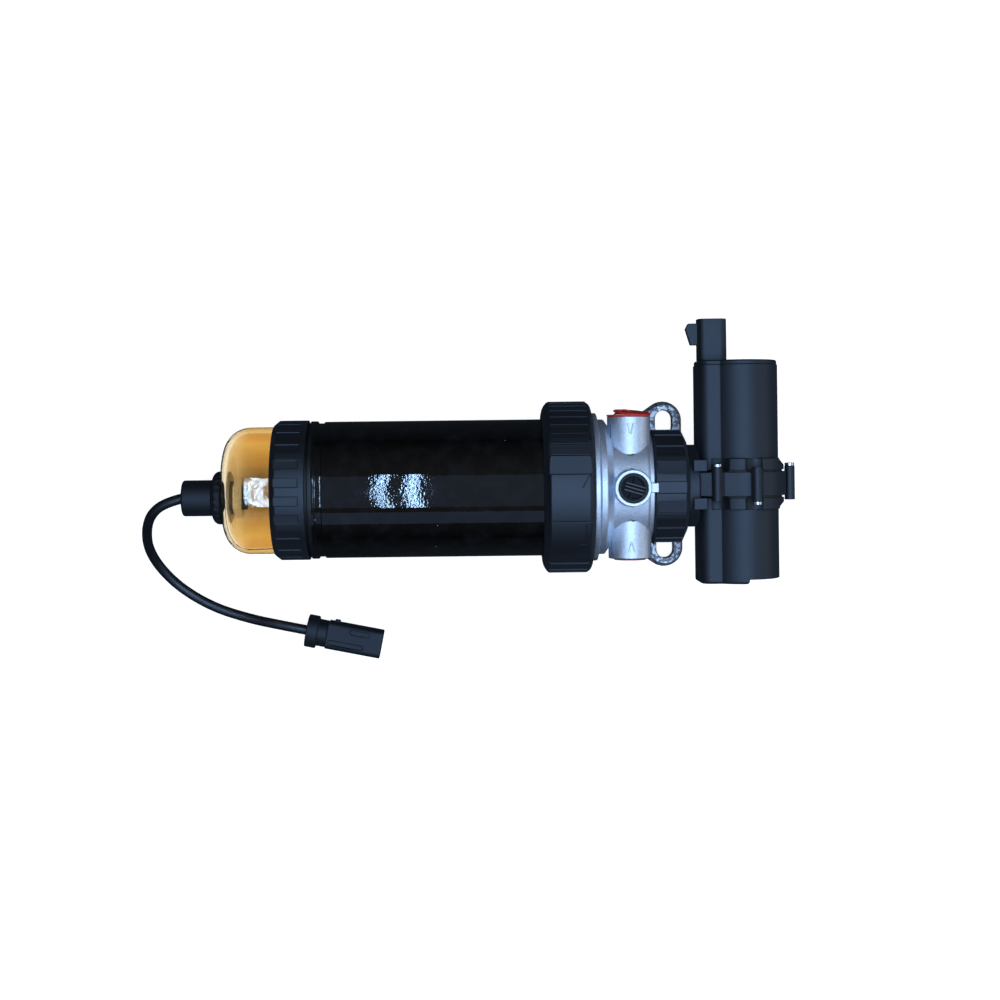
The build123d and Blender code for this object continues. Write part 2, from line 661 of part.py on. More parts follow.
# Large collar with ramped teeth and a smooth pad
collar_top_x = HEAD_FLANGE_X - RUNNING
collar_low_x = collar_top_x - COLLAR_LENGTH
collar_lip_x = CAN_TOP_X - CAN_FLANGE_THICK - END_GAP
with BuildPart() as element_collar:
    with BuildSketch(PROFILE):
        with BuildLine():
            Polyline(
                (collar_low_x, COLLAR_R - COLLAR_FACE_DROP),
                (collar_low_x, CAN_R + RUNNING),
                (collar_lip_x, CAN_R + RUNNING),
                (collar_lip_x, COLLAR_CAVITY_R),
                (collar_top_x, COLLAR_CAVITY_R),
                (collar_top_x, COLLAR_R - COLLAR_END_DROP),
            )
            ThreePointArc(
                (collar_top_x, COLLAR_R - COLLAR_END_DROP),
                (collar_top_x - 0.3 * COLLAR_ROUND, COLLAR_R - 0.38 * COLLAR_END_DROP),
                (collar_top_x - COLLAR_ROUND, COLLAR_R),
            )
            Line((collar_top_x - COLLAR_ROUND, COLLAR_R), (collar_low_x + COLLAR_ROUND, COLLAR_R))
            ThreePointArc(
                (collar_low_x + COLLAR_ROUND, COLLAR_R),
                (collar_low_x + 0.3 * COLLAR_ROUND, COLLAR_R - 0.38 * COLLAR_FACE_DROP),
                (collar_low_x, COLLAR_R - COLLAR_FACE_DROP),
            )
        make_face()
    revolve(axis=FILTER_AXIS)
    # Ramps in two rows, with a smooth stretch between them
    with BuildSketch(across(collar_low_x)):
        for half in (0, 180):
            for i in range(RAMP_COUNT):
                low_deg = RAMP_START_DEG - half - (i + 1) * RAMP_DEG
                high_deg = low_deg + RAMP_DEG
                Polygon(
                    polar(COLLAR_R, low_deg),
                    polar(1.1 * COLLAR_R, low_deg),
                    polar(1.1 * COLLAR_R, high_deg),
                    polar(COLLAR_R - RAMP_DEPTH, high_deg),
                    align=None,
                )
    extrude(amount=COLLAR_LENGTH, mode=Mode.SUBTRACT)
    # Lines on both sides of the raised pad
    with BuildSketch(across(collar_low_x)):
        for line_deg in (RAMP_START_DEG, PAD_END_DEG):
            with PolarLocations(COLLAR_R, 1, start_angle=line_deg):
                Rectangle(2 * PAD_LINE_DEPTH, PAD_LINE_WIDTH)
    extrude(amount=COLLAR_LENGTH, mode=Mode.SUBTRACT)
    # Lugs that draw the collar onto the head
    with BuildSketch(across(LUG_PLANE_X - LUG_THICK + END_GAP)):
        lugs(SKIRT_R + LUG_REACH - LUG_BITE, COLLAR_CAVITY_R + COLLAR_WALL / 8, LUG_COUNT, LUG_DEG)
    extrude(amount=LUG_THICK)

# See-through bowl
with BuildPart() as bowl:
    bowl_lip_x = BOWL_TOP_X - BOWL_FLANGE_THICK
    with BuildSketch(PROFILE):
        with BuildLine():
            Polyline(
                (BOWL_TOP_X, BOWL_R - BOWL_WALL),
                (BOWL_TOP_X, BOWL_FLANGE_R),
                (bowl_lip_x, BOWL_FLANGE_R),
                (bowl_lip_x, BOWL_R),
                (BOWL_FACE_X + BOWL_CORNER, BOWL_R),
            )
            RadiusArc(
                (BOWL_FACE_X + BOWL_CORNER, BOWL_R),
                (BOWL_FACE_X, BOWL_R - BOWL_CORNER),
                -BOWL_CORNER,
            )
            Polyline(
                (BOWL_FACE_X, BOWL_R - BOWL_CORNER),
                (BOWL_FACE_X, 0),
                (BOWL_FACE_X + BOWL_WALL, 0),
                (BOWL_FACE_X + BOWL_WALL, BOWL_R - BOWL_CORNER),
            )
            RadiusArc(
                (BOWL_FACE_X + BOWL_WALL, BOWL_R - BOWL_CORNER),
                (BOWL_FACE_X + BOWL_CORNER, BOWL_R - BOWL_WALL),
                BOWL_CORNER - BOWL_WALL,
            )
            Line((BOWL_FACE_X + BOWL_CORNER, BOWL_R - BOWL_WALL), (BOWL_TOP_X, BOWL_R - BOWL_WALL))
        make_face()
    revolve(axis=FILTER_AXIS)
    with BuildSketch(across(BOWL_FACE_X + BOWL_WALL / 2, SENSOR_Y)):
        Circle(BOSS_R)
    extrude(amount=-(BOWL_WALL / 2 + BOSS_LENGTH))
    with BuildSketch(across(BOSS_FACE_X, SENSOR_Y)):
        Circle(SENSOR_STEM_R + FIT)
    extrude(amount=2 * BOWL_WALL + BOSS_LENGTH, mode=Mode.SUBTRACT)

with BuildPart() as bowl_seal:
    with BuildSketch(across(BOWL_TOP_X)):
        Circle(CAN_TAIL_R - FIT)
        Circle(CAN_TAIL_R - CAN_TAIL_WALL + FIT, mode=Mode.SUBTRACT)
    extrude(amount=BOWL_SEAL_THICK)

# Ribbed ring of the bowl
ring_lip_x = bowl_lip_x - END_GAP
ring_low_x = ring_lip_x - RING_LIP
ring_top_x = BEAD_END_X - RING_TOP_GAP
with BuildPart() as bowl_ring:
    with BuildSketch(PROFILE):
        with BuildLine():
            Polyline(
                (ring_low_x, BOWL_R + RUNNING),
                (ring_lip_x, BOWL_R + RUNNING),
                (ring_lip_x, BOWL_FLANGE_R + RUNNING),
                (ring_top_x, BOWL_FLANGE_R + RUNNING),
                (ring_top_x, RING_R),
                (ring_low_x + RING_CHAMFER, RING_R),
                (ring_low_x, RING_R - RING_CHAMFER_DROP),
                close=True,
            )
        make_face()
    revolve(axis=FILTER_AXIS)
    with BuildSketch(across(ring_low_x)):
        rib_gaps(RING_R - RING_RIB_DEPTH, RING_R, RING_RIBS, RING_RIB_DEG)
    extrude(amount=ring_top_x - RING_BAND - ring_low_x, mode=Mode.SUBTRACT)

# Drain wheel on the sensor's stem
wheel_low_x = SENSOR_FACE_X + END_GAP
with BuildPart() as drain_wheel:
    with BuildSketch(SENSOR_PROFILE):
        with BuildLine():
            Polyline(
                (wheel_low_x + WHEEL_THICK, SENSOR_STEM_R + RUNNING),
                (wheel_low_x, SENSOR_STEM_R + RUNNING),
                (wheel_low_x, WHEEL_R - WHEEL_FACE_DROP),
            )
            ThreePointArc(
                (wheel_low_x, WHEEL_R - WHEEL_FACE_DROP),
                (wheel_low_x + 0.35 * WHEEL_ROUND, WHEEL_R - WHEEL_FACE_DROP / 3),
                (wheel_low_x + WHEEL_ROUND, WHEEL_R),
            )
            Polyline(
                (wheel_low_x + WHEEL_ROUND, WHEEL_R),
                (wheel_low_x + WHEEL_THICK, WHEEL_R),
                (wheel_low_x + WHEEL_THICK, SENSOR_STEM_R + RUNNING),
            )
        make_face()
    revolve(axis=SENSOR_AXIS)
    with BuildSketch(across(wheel_low_x, SENSOR_Y)):
        rib_gaps(WHEEL_R - WHEEL_TOOTH_DEPTH, WHEEL_R, WHEEL_TEETH, 180 / WHEEL_TEETH)
    extrude(amount=WHEEL_THICK, mode=Mode.SUBTRACT)
    # Ring of small blind holes in the outer face
    with BuildSketch(across(wheel_low_x, SENSOR_Y)):
        with PolarLocations(WHEEL_R - WHEEL_FACE_DROP + WHEEL_POCKET_R / 2, WHEEL_POCKETS):
            Circle(WHEEL_POCKET_R)
    extrude(amount=WHEEL_POCKET_DEPTH, mode=Mode.SUBTRACT)

# Sensor
with BuildPart() as sensor_body:
    with BuildSketch(SENSOR_PROFILE):
        with BuildLine():
            Polyline(
                (SENSOR_END_X, 0),
                (SENSOR_END_X, SENSOR_R - 1),
                (SENSOR_END_X + 1, SENSOR_R),
                (SENSOR_FACE_X, SENSOR_R),
                (SENSOR_FACE_X, SENSOR_STEM_R),
                (SENSOR_STEM_END_X, SENSOR_STEM_R),
                (SENSOR_STEM_END_X, 0),
                close=True,
            )
        make_face()
    revolve(axis=SENSOR_AXIS)
    with BuildSketch(across(SENSOR_END_X, SENSOR_Y)):
        Circle(SENSOR_R - SENSOR_LIP)
        Circle(CABLE_EXIT_R, mode=Mode.SUBTRACT)
    extrude(amount=SENSOR_RECESS, mode=Mode.SUBTRACT)

with BuildPart() as sensor_seal:
    with BuildSketch(across(BOWL_FACE_X + BOWL_WALL, SENSOR_Y)):
        Circle(SENSOR_SEAL_R)
        Circle(SENSOR_STEM_R + FIT, mode=Mode.SUBTRACT)
    extrude(amount=SENSOR_SEAL_THICK)

with BuildPart() as sensor_nut:
    with BuildSketch(across(SENSOR_NUT_X, SENSOR_Y)):
        RegularPolygon(SENSOR_NUT_ACROSS / 2, 6, major_radius=False)
        Circle(SENSOR_STEM_R + FIT, mode=Mode.SUBTRACT)
    extrude(amount=SENSOR_NUT_THICK)

with BuildPart() as sensor_probes:
    with BuildSketch(across(SENSOR_STEM_END_X, SENSOR_Y)):
        with Locations((-PROBE_SPACING / 2, 0), (PROBE_SPACING / 2, 0)):
            Circle(PROBE_R)
    extrude(amount=PROBE_LENGTH)

# Vent plug in the front port
with BuildPart() as vent_plug:
    with BuildSketch(Plane(origin=(FRONT_X, 0, VENT_TOP_Z))):
        Circle(FRONT_BORE_R - RUNNING)
    extrude(amount=-(FRONT_BORE_DEPTH - VENT_SINK - VENT_SEAL_THICK))
    # Two grooves side by side, and four pockets round them
    with BuildSketch(Plane(origin=(FRONT_X, 0, VENT_TOP_Z)).rotated((0, 0, VENT_TILT_DEG))):
        for side in (-1, 1):
            with Locations((VENT_GROOVE_X, side * VENT_GROOVE_SPACING / 2)):
                Rectangle(VENT_GROOVE_LENGTH, VENT_GROOVE_WIDTH)
            for end in (-1, 1):
                Polygon(
                    (end * VENT_POCKET_WEB, side * VENT_POCKET_START),
                    (end * VENT_POCKET_END, side * VENT_POCKET_START),
                    (end * 0.75 * VENT_POCKET_END, side * 0.7 * VENT_POCKET_END),
                    (end * VENT_POCKET_WEB, side * VENT_POCKET_END),
                    align=None,
                )
    extrude(amount=-VENT_DEPTH, mode=Mode.SUBTRACT)

with BuildPart() as vent_plug_seal:
    with BuildSketch(Plane(origin=(FRONT_X, 0, FRONT_TOP_Z - FRONT_BORE_DEPTH))):
        Circle(FRONT_BORE_R - RUNNING)
        Circle(FRONT_BORE_R - RUNNING - VENT_SEAL_WALL, mode=Mode.SUBTRACT)
    extrude(amount=VENT_SEAL_THICK)


def port_cap(side, flange_r):
    """Transit cap pushed into a side port: a hollow plug under a thin flange."""
    with BuildPart() as cap:
        with BuildSketch(port_face(side)):
            Circle(flange_r)
        extrude(amount=CAP_FLANGE_THICK)
        with BuildSketch(port_face(side)):
            Circle(PORT_BORE_R - RUNNING)
        extrude(amount=-CAP_DEPTH)
        with BuildSketch(port_face(side).offset(-CAP_DEPTH)):
            Circle(PORT_BORE_R - RUNNING - CAP_WALL)
        extrude(amount=CAP_DEPTH, mode=Mode.SUBTRACT)
    return cap.part


left_cap_shell = port_cap(1, PORT_BORE_R + CAP_LEFT_REACH)
with BuildPart() as port_cap_left:
    add(left_cap_shell)
    # Curled pull loop
    loop_y = PORT_SPAN / 2 + CAP_FLANGE_THICK - CAP_LOOP_SINK
    with BuildSketch(Plane(origin=(PORT_X + CAP_LOOP_X, loop_y, PORT_Z - CAP_LOOP_WIDTH / 2))):
        with BuildLine():
            ThreePointArc((-CAP_LOOP_HALF, 0), (0, CAP_LOOP_RISE), (CAP_LOOP_HALF, 0))
            Line((CAP_LOOP_HALF, 0), (CAP_LOOP_HALF - CAP_LOOP_THICK, 0))
            ThreePointArc(
                (CAP_LOOP_HALF - CAP_LOOP_THICK, 0),
                (0, CAP_LOOP_RISE - CAP_LOOP_THICK),
                (CAP_LOOP_THICK - CAP_LOOP_HALF, 0),
            )
            Line((CAP_LOOP_THICK - CAP_LOOP_HALF, 0), (-CAP_LOOP_HALF, 0))
        make_face()
    extrude(amount=CAP_LOOP_WIDTH)

port_cap_right = port_cap(-1, PORT_BORE_R + CAP_RIGHT_REACH)

# Union nut
nut_end_x = NUT_START_X + NUT_LENGTH
nut_nose_x = nut_end_x + NUT_SHOULDER
nut_lip_x = NECK_FACE_X + NECK_FLANGE_THICK + END_GAP
with BuildPart() as pump_ring_nut:
    with BuildSketch(PROFILE):
        with BuildLine():
            Polyline(
                (NUT_START_X, UNION_R + RUNNING),
                (NUT_START_X, NUT_R - NUT_CHAMFER),
                (NUT_START_X + NUT_CHAMFER, NUT_R),
                (nut_end_x, NUT_R),
                (nut_nose_x, NUT_NOSE_R),
                (nut_nose_x, NECK_R + RUNNING),
                (nut_lip_x, NECK_R + RUNNING),
                (nut_lip_x, UNION_R + RUNNING),
                close=True,
            )
        make_face()
    revolve(axis=FILTER_AXIS)
    with BuildSketch(across(NUT_START_X + NUT_PLAIN)):
        rib_gaps(NUT_R - NUT_RIB_DEPTH, NUT_R, NUT_RIBS, NUT_RIB_DEG)
    extrude(amount=nut_nose_x - NUT_START_X, mode=Mode.SUBTRACT)

with BuildPart() as neck_seal:
    with BuildSketch(across(UNION_END_X)):
        Circle(UNION_BORE_R + NECK_SEAL_INSET + NECK_SEAL_WIDTH)
        Circle(UNION_BORE_R + NECK_SEAL_INSET, mode=Mode.SUBTRACT)
    extrude(amount=NECK_SEAL_THICK)

# Pump manifold: inlet neck and the band that joins the two housings
with BuildPart() as pump_manifold:
    with BuildSketch(PROFILE):
        with BuildLine():
            Polyline(
                (NECK_FACE_X, 0),
                (NECK_FACE_X, NECK_FLANGE_R),
                (NECK_FACE_X + NECK_FLANGE_THICK, NECK_FLANGE_R),
                (NECK_FACE_X + NECK_FLANGE_THICK, NECK_R),
                (NECK_END_X - NECK_CHAMFER, NECK_R),
                (NECK_END_X, NECK_R - NECK_CHAMFER),
                (NECK_END_X, 0),
                close=True,
            )
        make_face()
    revolve(axis=FILTER_AXIS)
    with BuildSketch(pump_level(-BAND_HALF_LENGTH)):
        Circle(BAND_R)
        with Locations((0, NECK_END_X - PUMP_X)):
            Rectangle(2 * (NECK_R - BAND_NECK_DROP), BAND_NECK_WEB)
        make_hull()
    extrude(amount=2 * BAND_HALF_LENGTH)
    # Lugs beside the band, above and below the neck's end
    lug_low = LOBE_HALF_HEIGHT + END_GAP
    lug_high = NECK_R + NECK_LUG_RISE
    lug_middle_x = (NECK_LUG_LEFT_X + NECK_LUG_RIGHT_X) / 2 - PUMP_X
    for side in (-1, 1):
        with BuildSketch(pump_level(side * NECK_LUG_START)):
            for level in (-(lug_low + lug_high) / 2, (lug_low + lug_high) / 2):
                with Locations((level, lug_middle_x)):
                    Rectangle(lug_high - lug_low, NECK_LUG_RIGHT_X - NECK_LUG_LEFT_X)
        extrude(amount=side * NECK_LUG_WIDTH)
    # Screw bosses that stand on the band, each with a rib down its side
    for angle in SCREW_ANGLES:
        with BuildSketch(pump_level(-BAND_HALF_LENGTH)):
            with Locations(polar(SCREW_CIRCLE_R, angle)):
                Circle(SCREW_BOSS_R - FIT)
            with Locations(polar(BAND_R - SCREW_RIB_R, angle + SCREW_RIB_DEG)):
                Circle(SCREW_RIB_R)
            make_hull()
        extrude(amount=2 * BAND_HALF_LENGTH)
    with BuildSketch(pump_level(-SCREW_BOSS_HALF_LENGTH)):
        with Locations(*screw_places()):
            Circle(SCREW_BOSS_R)
    extrude(amount=2 * SCREW_BOSS_HALF_LENGTH)
    with BuildSketch(pump_level(-BAND_HALF_LENGTH)):
        Circle(MOTOR_BORE_R)
    extrude(amount=2 * BAND_HALF_LENGTH, mode=Mode.SUBTRACT)
    with BuildSketch(across(NECK_FACE_X)):
        Circle(NECK_BORE_R)
    extrude(amount=PUMP_X - NECK_FACE_X, mode=Mode.SUBTRACT)
    # Blind holes from alternate sides
    for i, place in enumerate(screw_places()):
        side = -1 if i % 2 else 1
        with BuildSketch(pump_level(side * SCREW_BOSS_HALF_LENGTH)):
            with Locations(place):
                Circle(SCREW_R + FIT)
        extrude(amount=-side * SCREW_HOLE_LENGTH, mode=Mode.SUBTRACT)


def pump_housing(side, end_y, stack_y):
    """One moulded half of the pump, open towards the band, with a cuff round its rim."""
    start = side * HOUSING_START
    cuff_end = side * (HOUSING_START + CUFF_LENGTH)
    # What is taken off the cuff's end, on its right alone
    with BuildPart() as slope_cutter:
        with BuildSketch(PUMP_PROFILE):
            Polygon(
                (CUFF_R, cuff_end - side * CUFF_SLOPE),
                (CUFF_R + FIT, cuff_end - side * CUFF_SLOPE),
                (CUFF_R + FIT, cuff_end),
                (PUMP_R, cuff_end),
                align=None,
            )
        revolve(axis=PUMP_AXIS)
        with BuildSketch(pump_level(start)):
            right_half = CUFF_SLOPE_DEG / 2
            Polygon(*wedge(PUMP_R / 2, 2 * CUFF_R, 90 - right_half, 90 + right_half), align=None)
        extrude(amount=side * CUFF_LENGTH, mode=Mode.INTERSECT)
    with BuildPart() as housing:
        with BuildSketch(pump_level(start)):
            pump_outline()
        extrude(amount=end_y - start)
        with BuildSketch(pump_level(start)):
            Circle(CUFF_R)
        extrude(amount=side * CUFF_LENGTH)
        add(slope_cutter.part, mode=Mode.SUBTRACT)
        # Pockets round the screws
        with BuildSketch(pump_level(start)):
            with Locations(*screw_places()):
                Circle(SCREW_POCKET_R)
        extrude(amount=side * CUFF_LENGTH, mode=Mode.SUBTRACT)
        # Bore down to the seat of the motor's stack, and a narrower one past it
        with BuildSketch(pump_level(start)):
            Circle(MOTOR_BORE_R)
        extrude(amount=stack_y - start, mode=Mode.SUBTRACT)
        with BuildSketch(pump_level(start)):
            Circle(OUTLET_BORE_R)
        extrude(amount=end_y - start - side * PUMP_WALL, mode=Mode.SUBTRACT)
    return housing.part


pump_lower_shell = pump_housing(-1, PUMP_BOTTOM_Y, STACK_LOW_Y)
with BuildPart() as pump_lower_housing:
    add(pump_lower_shell)
    # The left half of the foot stands further out
    with BuildSketch(pump_level(PUMP_BOTTOM_Y)):
        pump_outline()
        with Locations((0, FOOT_STEP_X - PUMP_X + PUMP_R)):
            Rectangle(3 * PUMP_R, 2 * PUMP_R, mode=Mode.SUBTRACT)
    extrude(amount=-FOOT_DROP)
    fillet(pump_lower_housing.edges().group_by(Axis.Y)[0], radius=FOOT_ROUND)

pump_upper_shell = pump_housing(1, PUMP_TOP_Y, STACK_TOP_Y)
with BuildPart() as pump_upper_housing:
    add(pump_upper_shell)
    # Boss for the shaft's top bush
    with BuildSketch(pump_level(PUMP_TOP_Y - PUMP_WALL)):
        Circle(BUSH_BOSS_R)
        Circle(BUSH_R + BEARING, mode=Mode.SUBTRACT)
    extrude(amount=-BUSH_LENGTH)

# Gaskets on both faces of the band, a little in from its rim
with BuildPart() as housing_gaskets:
    for side in (-1, 1):
        with BuildSketch(pump_level(side * BAND_HALF_LENGTH)):
            Circle(CUFF_R - GASKET_INSET)
            Circle(MOTOR_BORE_R, mode=Mode.SUBTRACT)
            with Locations(*screw_places()):
                Circle(SCREW_POCKET_R, mode=Mode.SUBTRACT)
        extrude(amount=side * GASKET_THICK)

# Screws in the band's bosses, with their heads on alternate sides
with BuildPart() as pump_screws:
    for i, place in enumerate(screw_places()):
        side = -1 if i % 2 else 1
        with BuildSketch(pump_level(side * SCREW_BOSS_HALF_LENGTH)):
            with Locations(place):
                Circle(SCREW_HEAD_R)
        extrude(amount=side * SCREW_HEAD_THICK)
        with BuildSketch(pump_level(side * SCREW_BOSS_HALF_LENGTH)):
            with Locations(place):
                Circle(SCREW_R)
        extrude(amount=-side * (SCREW_HOLE_LENGTH - END_GAP))

# End cap with the power socket and its latch
with BuildPart() as pump_end_cap:
    with BuildSketch(pump_level(PUMP_TOP_Y)):
        pump_outline(-END_CAP_INSET)
    extrude(amount=END_CAP_THICK)
    fillet(pump_end_cap.edges().group_by(Axis.Y)[-1], radius=END_CAP_ROUND)
    with BuildSketch(pump_level(SOCKET_Y)):
        with Locations((0, SOCKET_X - PUMP_X)):
            RectangleRounded(SOCKET_HEIGHT, SOCKET_WIDTH, SOCKET_CORNER)
    extrude(amount=SOCKET_LENGTH)
    latch_origin = (SOCKET_X - SOCKET_WIDTH / 2, PUMP_Y + SOCKET_Y + LATCH_START, AXIS_HEIGHT)
    with BuildSketch(Plane(origin=latch_origin)):
        with BuildLine():
            Polyline(
                (SOCKET_WALL / 2, 0),
                (-LATCH_FOOT_REACH, 0),
                (-LATCH_REACH, LATCH_LENGTH - 1.3 * LATCH_CORNER),
                (-LATCH_REACH + 0.7 * LATCH_CORNER, LATCH_LENGTH),
                (SOCKET_WALL / 2, LATCH_LENGTH),
                close=True,
            )
        make_face()
    extrude(amount=LATCH_WIDTH / 2, both=True)
    with BuildSketch(pump_level(SOCKET_Y + SOCKET_LENGTH)):
        with Locations((0, SOCKET_X - PUMP_X)):
            RectangleRounded(
                SOCKET_HEIGHT - 2 * SOCKET_WALL,
                SOCKET_WIDTH - 2 * SOCKET_WALL,
                SOCKET_CORNER - SOCKET_WALL,
            )
    extrude(amount=-SOCKET_DEPTH, mode=Mode.SUBTRACT)

with BuildPart() as power_terminals:
    with BuildSketch(pump_level(SOCKET_Y + SOCKET_LENGTH - SOCKET_DEPTH)):
        for side in (-1, 1):
            with Locations((0, SOCKET_X - PUMP_X + side * TERMINAL_SPACING / 2)):
                Rectangle(TERMINAL_THICK, TERMINAL_WIDTH)
    extrude(amount=TERMINAL_LENGTH)

# Motor stack: plates and impeller chamber below, flux ring, brush plate on top
magnet_outer_r = FLUX_R - FLUX_WALL
armature_r = magnet_outer_r - MAGNET_THICK - AIR_GAP
magnet_y = FLUX_Y + MAGNET_START
armature_y = magnet_y + (MAGNET_LENGTH - ARMATURE_LENGTH) / 2
commutator_y = BRUSH_PLATE_Y + (BRUSH_PLATE_THICK - COMMUTATOR_LENGTH) / 2

with BuildPart() as lower_port_plate:
    with BuildSketch(pump_level(STACK_LOW_Y)):
        Circle(FLUX_R)
        with Locations((PLATE_HOLE_SHARE * IMPELLER_R, 0)):
            Circle(PLATE_HOLE_R, mode=Mode.SUBTRACT)
    extrude(amount=PLATE_THICK)

with BuildPart() as chamber_ring:
    with BuildSketch(pump_level(CHAMBER_Y)):
        Circle(FLUX_R)
        Circle(FLUX_R - CHAMBER_WALL, mode=Mode.SUBTRACT)
    extrude(amount=UPPER_PLATE_Y - CHAMBER_Y)

with BuildPart() as impeller:
    with BuildSketch(pump_level(CHAMBER_Y + END_GAP)):
        Circle(IMPELLER_R)
        Circle(SHAFT_R + BEARING, mode=Mode.SUBTRACT)
    extrude(amount=IMPELLER_THICK)
    with BuildSketch(pump_level(CHAMBER_Y + END_GAP)):
        with PolarLocations(IMPELLER_R, IMPELLER_VANES):
            Rectangle(2 * VANE_DEPTH, VANE_GAP)
    extrude(amount=IMPELLER_THICK, mode=Mode.SUBTRACT)

with BuildPart() as upper_port_plate:
    with BuildSketch(pump_level(UPPER_PLATE_Y)):
        Circle(FLUX_R)
        Circle(BUSH_R + BEARING, mode=Mode.SUBTRACT)
        with Locations((-PLATE_HOLE_SHARE * IMPELLER_R, 0)):
            Circle(PLATE_HOLE_R, mode=Mode.SUBTRACT)
    extrude(amount=PLATE_THICK)

with BuildPart() as flux_ring:
    with BuildSketch(pump_level(FLUX_Y)):
        Circle(FLUX_R)
        Circle(magnet_outer_r, mode=Mode.SUBTRACT)
    extrude(amount=FLUX_LENGTH)
    with BuildSketch(across(PUMP_X - 2 * FLUX_R)):
        Circle(NECK_BORE_R)
    extrude(amount=2 * FLUX_R, mode=Mode.SUBTRACT)

with BuildPart() as magnets:
    with BuildSketch(pump_level(magnet_y)):
        Circle(magnet_outer_r)
        Circle(magnet_outer_r - MAGNET_THICK, mode=Mode.SUBTRACT)
        gap_half_deg = (180 - MAGNET_DEG) / 2
        with PolarLocations(0, 2, start_angle=90):
            gap = wedge(SHAFT_R, 2 * FLUX_R, -gap_half_deg, gap_half_deg)
            Polygon(*gap, align=None, mode=Mode.SUBTRACT)
    extrude(amount=MAGNET_LENGTH)

with BuildPart() as armature:
    with BuildSketch(pump_level(armature_y)):
        Circle(armature_r)
        Circle(SHAFT_R + BEARING, mode=Mode.SUBTRACT)
        with PolarLocations(armature_r, ARMATURE_SLOTS):
            Rectangle(2 * ARMATURE_SLOT_DEPTH, ARMATURE_SLOT_WIDTH, mode=Mode.SUBTRACT)
    extrude(amount=ARMATURE_LENGTH)

with BuildPart() as commutator:
    with BuildSketch(pump_level(commutator_y)):
        Circle(COMMUTATOR_R)
        Circle(SHAFT_R + BEARING, mode=Mode.SUBTRACT)
        with PolarLocations(COMMUTATOR_R, ARMATURE_SLOTS):
            Rectangle(2 * COMMUTATOR_CUT_DEPTH, COMMUTATOR_CUT_WIDTH, mode=Mode.SUBTRACT)
    extrude(amount=COMMUTATOR_LENGTH)

with BuildPart() as motor_shaft:
    with BuildSketch(pump_level(CHAMBER_Y + END_GAP)):
        Circle(SHAFT_R)
    extrude(amount=PUMP_TOP_Y - PUMP_WALL - 2 * END_GAP - CHAMBER_Y)

with BuildPart() as shaft_bushes:
    for bush_y in (UPPER_PLATE_Y, BOSS_Y):
        with BuildSketch(pump_level(bush_y)):
            Circle(BUSH_R)
            Circle(SHAFT_R + BEARING, mode=Mode.SUBTRACT)
        extrude(amount=BUSH_LENGTH)

brush_reach = COMMUTATOR_R + FIT + BRUSH_LENGTH + BRUSH_SPRING_ROOM
with BuildPart() as brush_plate:
    with BuildSketch(pump_level(BRUSH_PLATE_Y)):
        Circle(FLUX_R)
        Circle(COMMUTATOR_R + BRUSH_PLATE_GAP, mode=Mode.SUBTRACT)
        Rectangle(2 * brush_reach, BRUSH_WIDTH + 2 * FIT, mode=Mode.SUBTRACT)
    extrude(amount=BRUSH_PLATE_THICK)

with BuildPart() as brushes:
    with BuildSketch(pump_level(BRUSH_PLATE_Y)):
        for side in (-1, 1):
            with Locations((side * (COMMUTATOR_R + FIT + BRUSH_LENGTH / 2), 0)):
                Rectangle(BRUSH_LENGTH, BRUSH_WIDTH)
    extrude(amount=BRUSH_PLATE_THICK)

# Sensor cable: straight runs joined by arcs, from the sensor's end to the plug
CABLE_ROUTE = (
    (SENSOR_END_X, SENSOR_Y, AXIS_HEIGHT),
    (-317.4, -7.0, AXIS_HEIGHT),
    (-327.2, -14.6, 48.9),
    (-332.0, -25.2, 37.2),
    (-333.2, -37.4, 23.8),
    (-328.0, -50.9, 10.8),
    (-315.2, -65.1, 3.8),
    (-294.7, -77.4, 3.2),
    (-271.3, -85.0, 3.4),
    (-250.3, -88.7, PLUG_AXIS_HEIGHT),
    (-233.3, -92.1, PLUG_AXIS_HEIGHT),
)


def bend_radii(points):
    """Largest arc at each inner point that its two runs leave room for."""
    radii = []
    for before, corner, after in zip(points, points[1:], points[2:]):
        arriving = Vector(corner) - Vector(before)
        leaving = Vector(after) - Vector(corner)
        turn = radians(arriving.get_angle(leaving))
        radii.append(0.45 * min(arriving.length, leaving.length) / tan(turn / 2))
    return radii


cable_radii = bend_radii(CABLE_ROUTE)
print("cable radii", [round(r, 1) for r in cable_radii])
with BuildPart() as sensor_cable:
    with BuildLine() as cable_line:
        FilletPolyline(*CABLE_ROUTE, radius=cable_radii)
    with BuildSketch(Plane(origin=CABLE_ROUTE[0], z_dir=cable_line.line % 0)):
        Circle(CABLE_R)
    sweep()
cable_length = sum(edge.length for edge in cable_line.edges())
print("cable length", round(cable_length), "volume", round(sensor_cable.part.volume))
print("section times length", round(pi * CABLE_R**2 * cable_length))

# Plug on the cable's end, lying level on the same surface as the pad
plug_dir = (Vector(CABLE_ROUTE[-1]) - Vector(CABLE_ROUTE[-2])).normalized()
plug_plane = Plane(origin=CABLE_ROUTE[-1], x_dir=(0, 0, 1), z_dir=plug_dir)
with BuildPart() as connector_backshell:
    with BuildSketch(plug_plane):
        Circle(BACKSHELL_COLLAR_R)
        Circle(CABLE_R + CABLE_SLEEVE_WALL, mode=Mode.SUBTRACT)
    extrude(amount=BACKSHELL_COLLAR)
    with BuildSketch(plug_plane):
        Circle(CABLE_R + CABLE_SLEEVE_WALL)
    extrude(amount=BACKSHELL_LENGTH)
    with BuildSketch(plug_plane.offset(BACKSHELL_MOUTH_DEPTH)):
        Circle(BACKSHELL_R)
    extrude(amount=BACKSHELL_LENGTH - BACKSHELL_MOUTH_DEPTH)

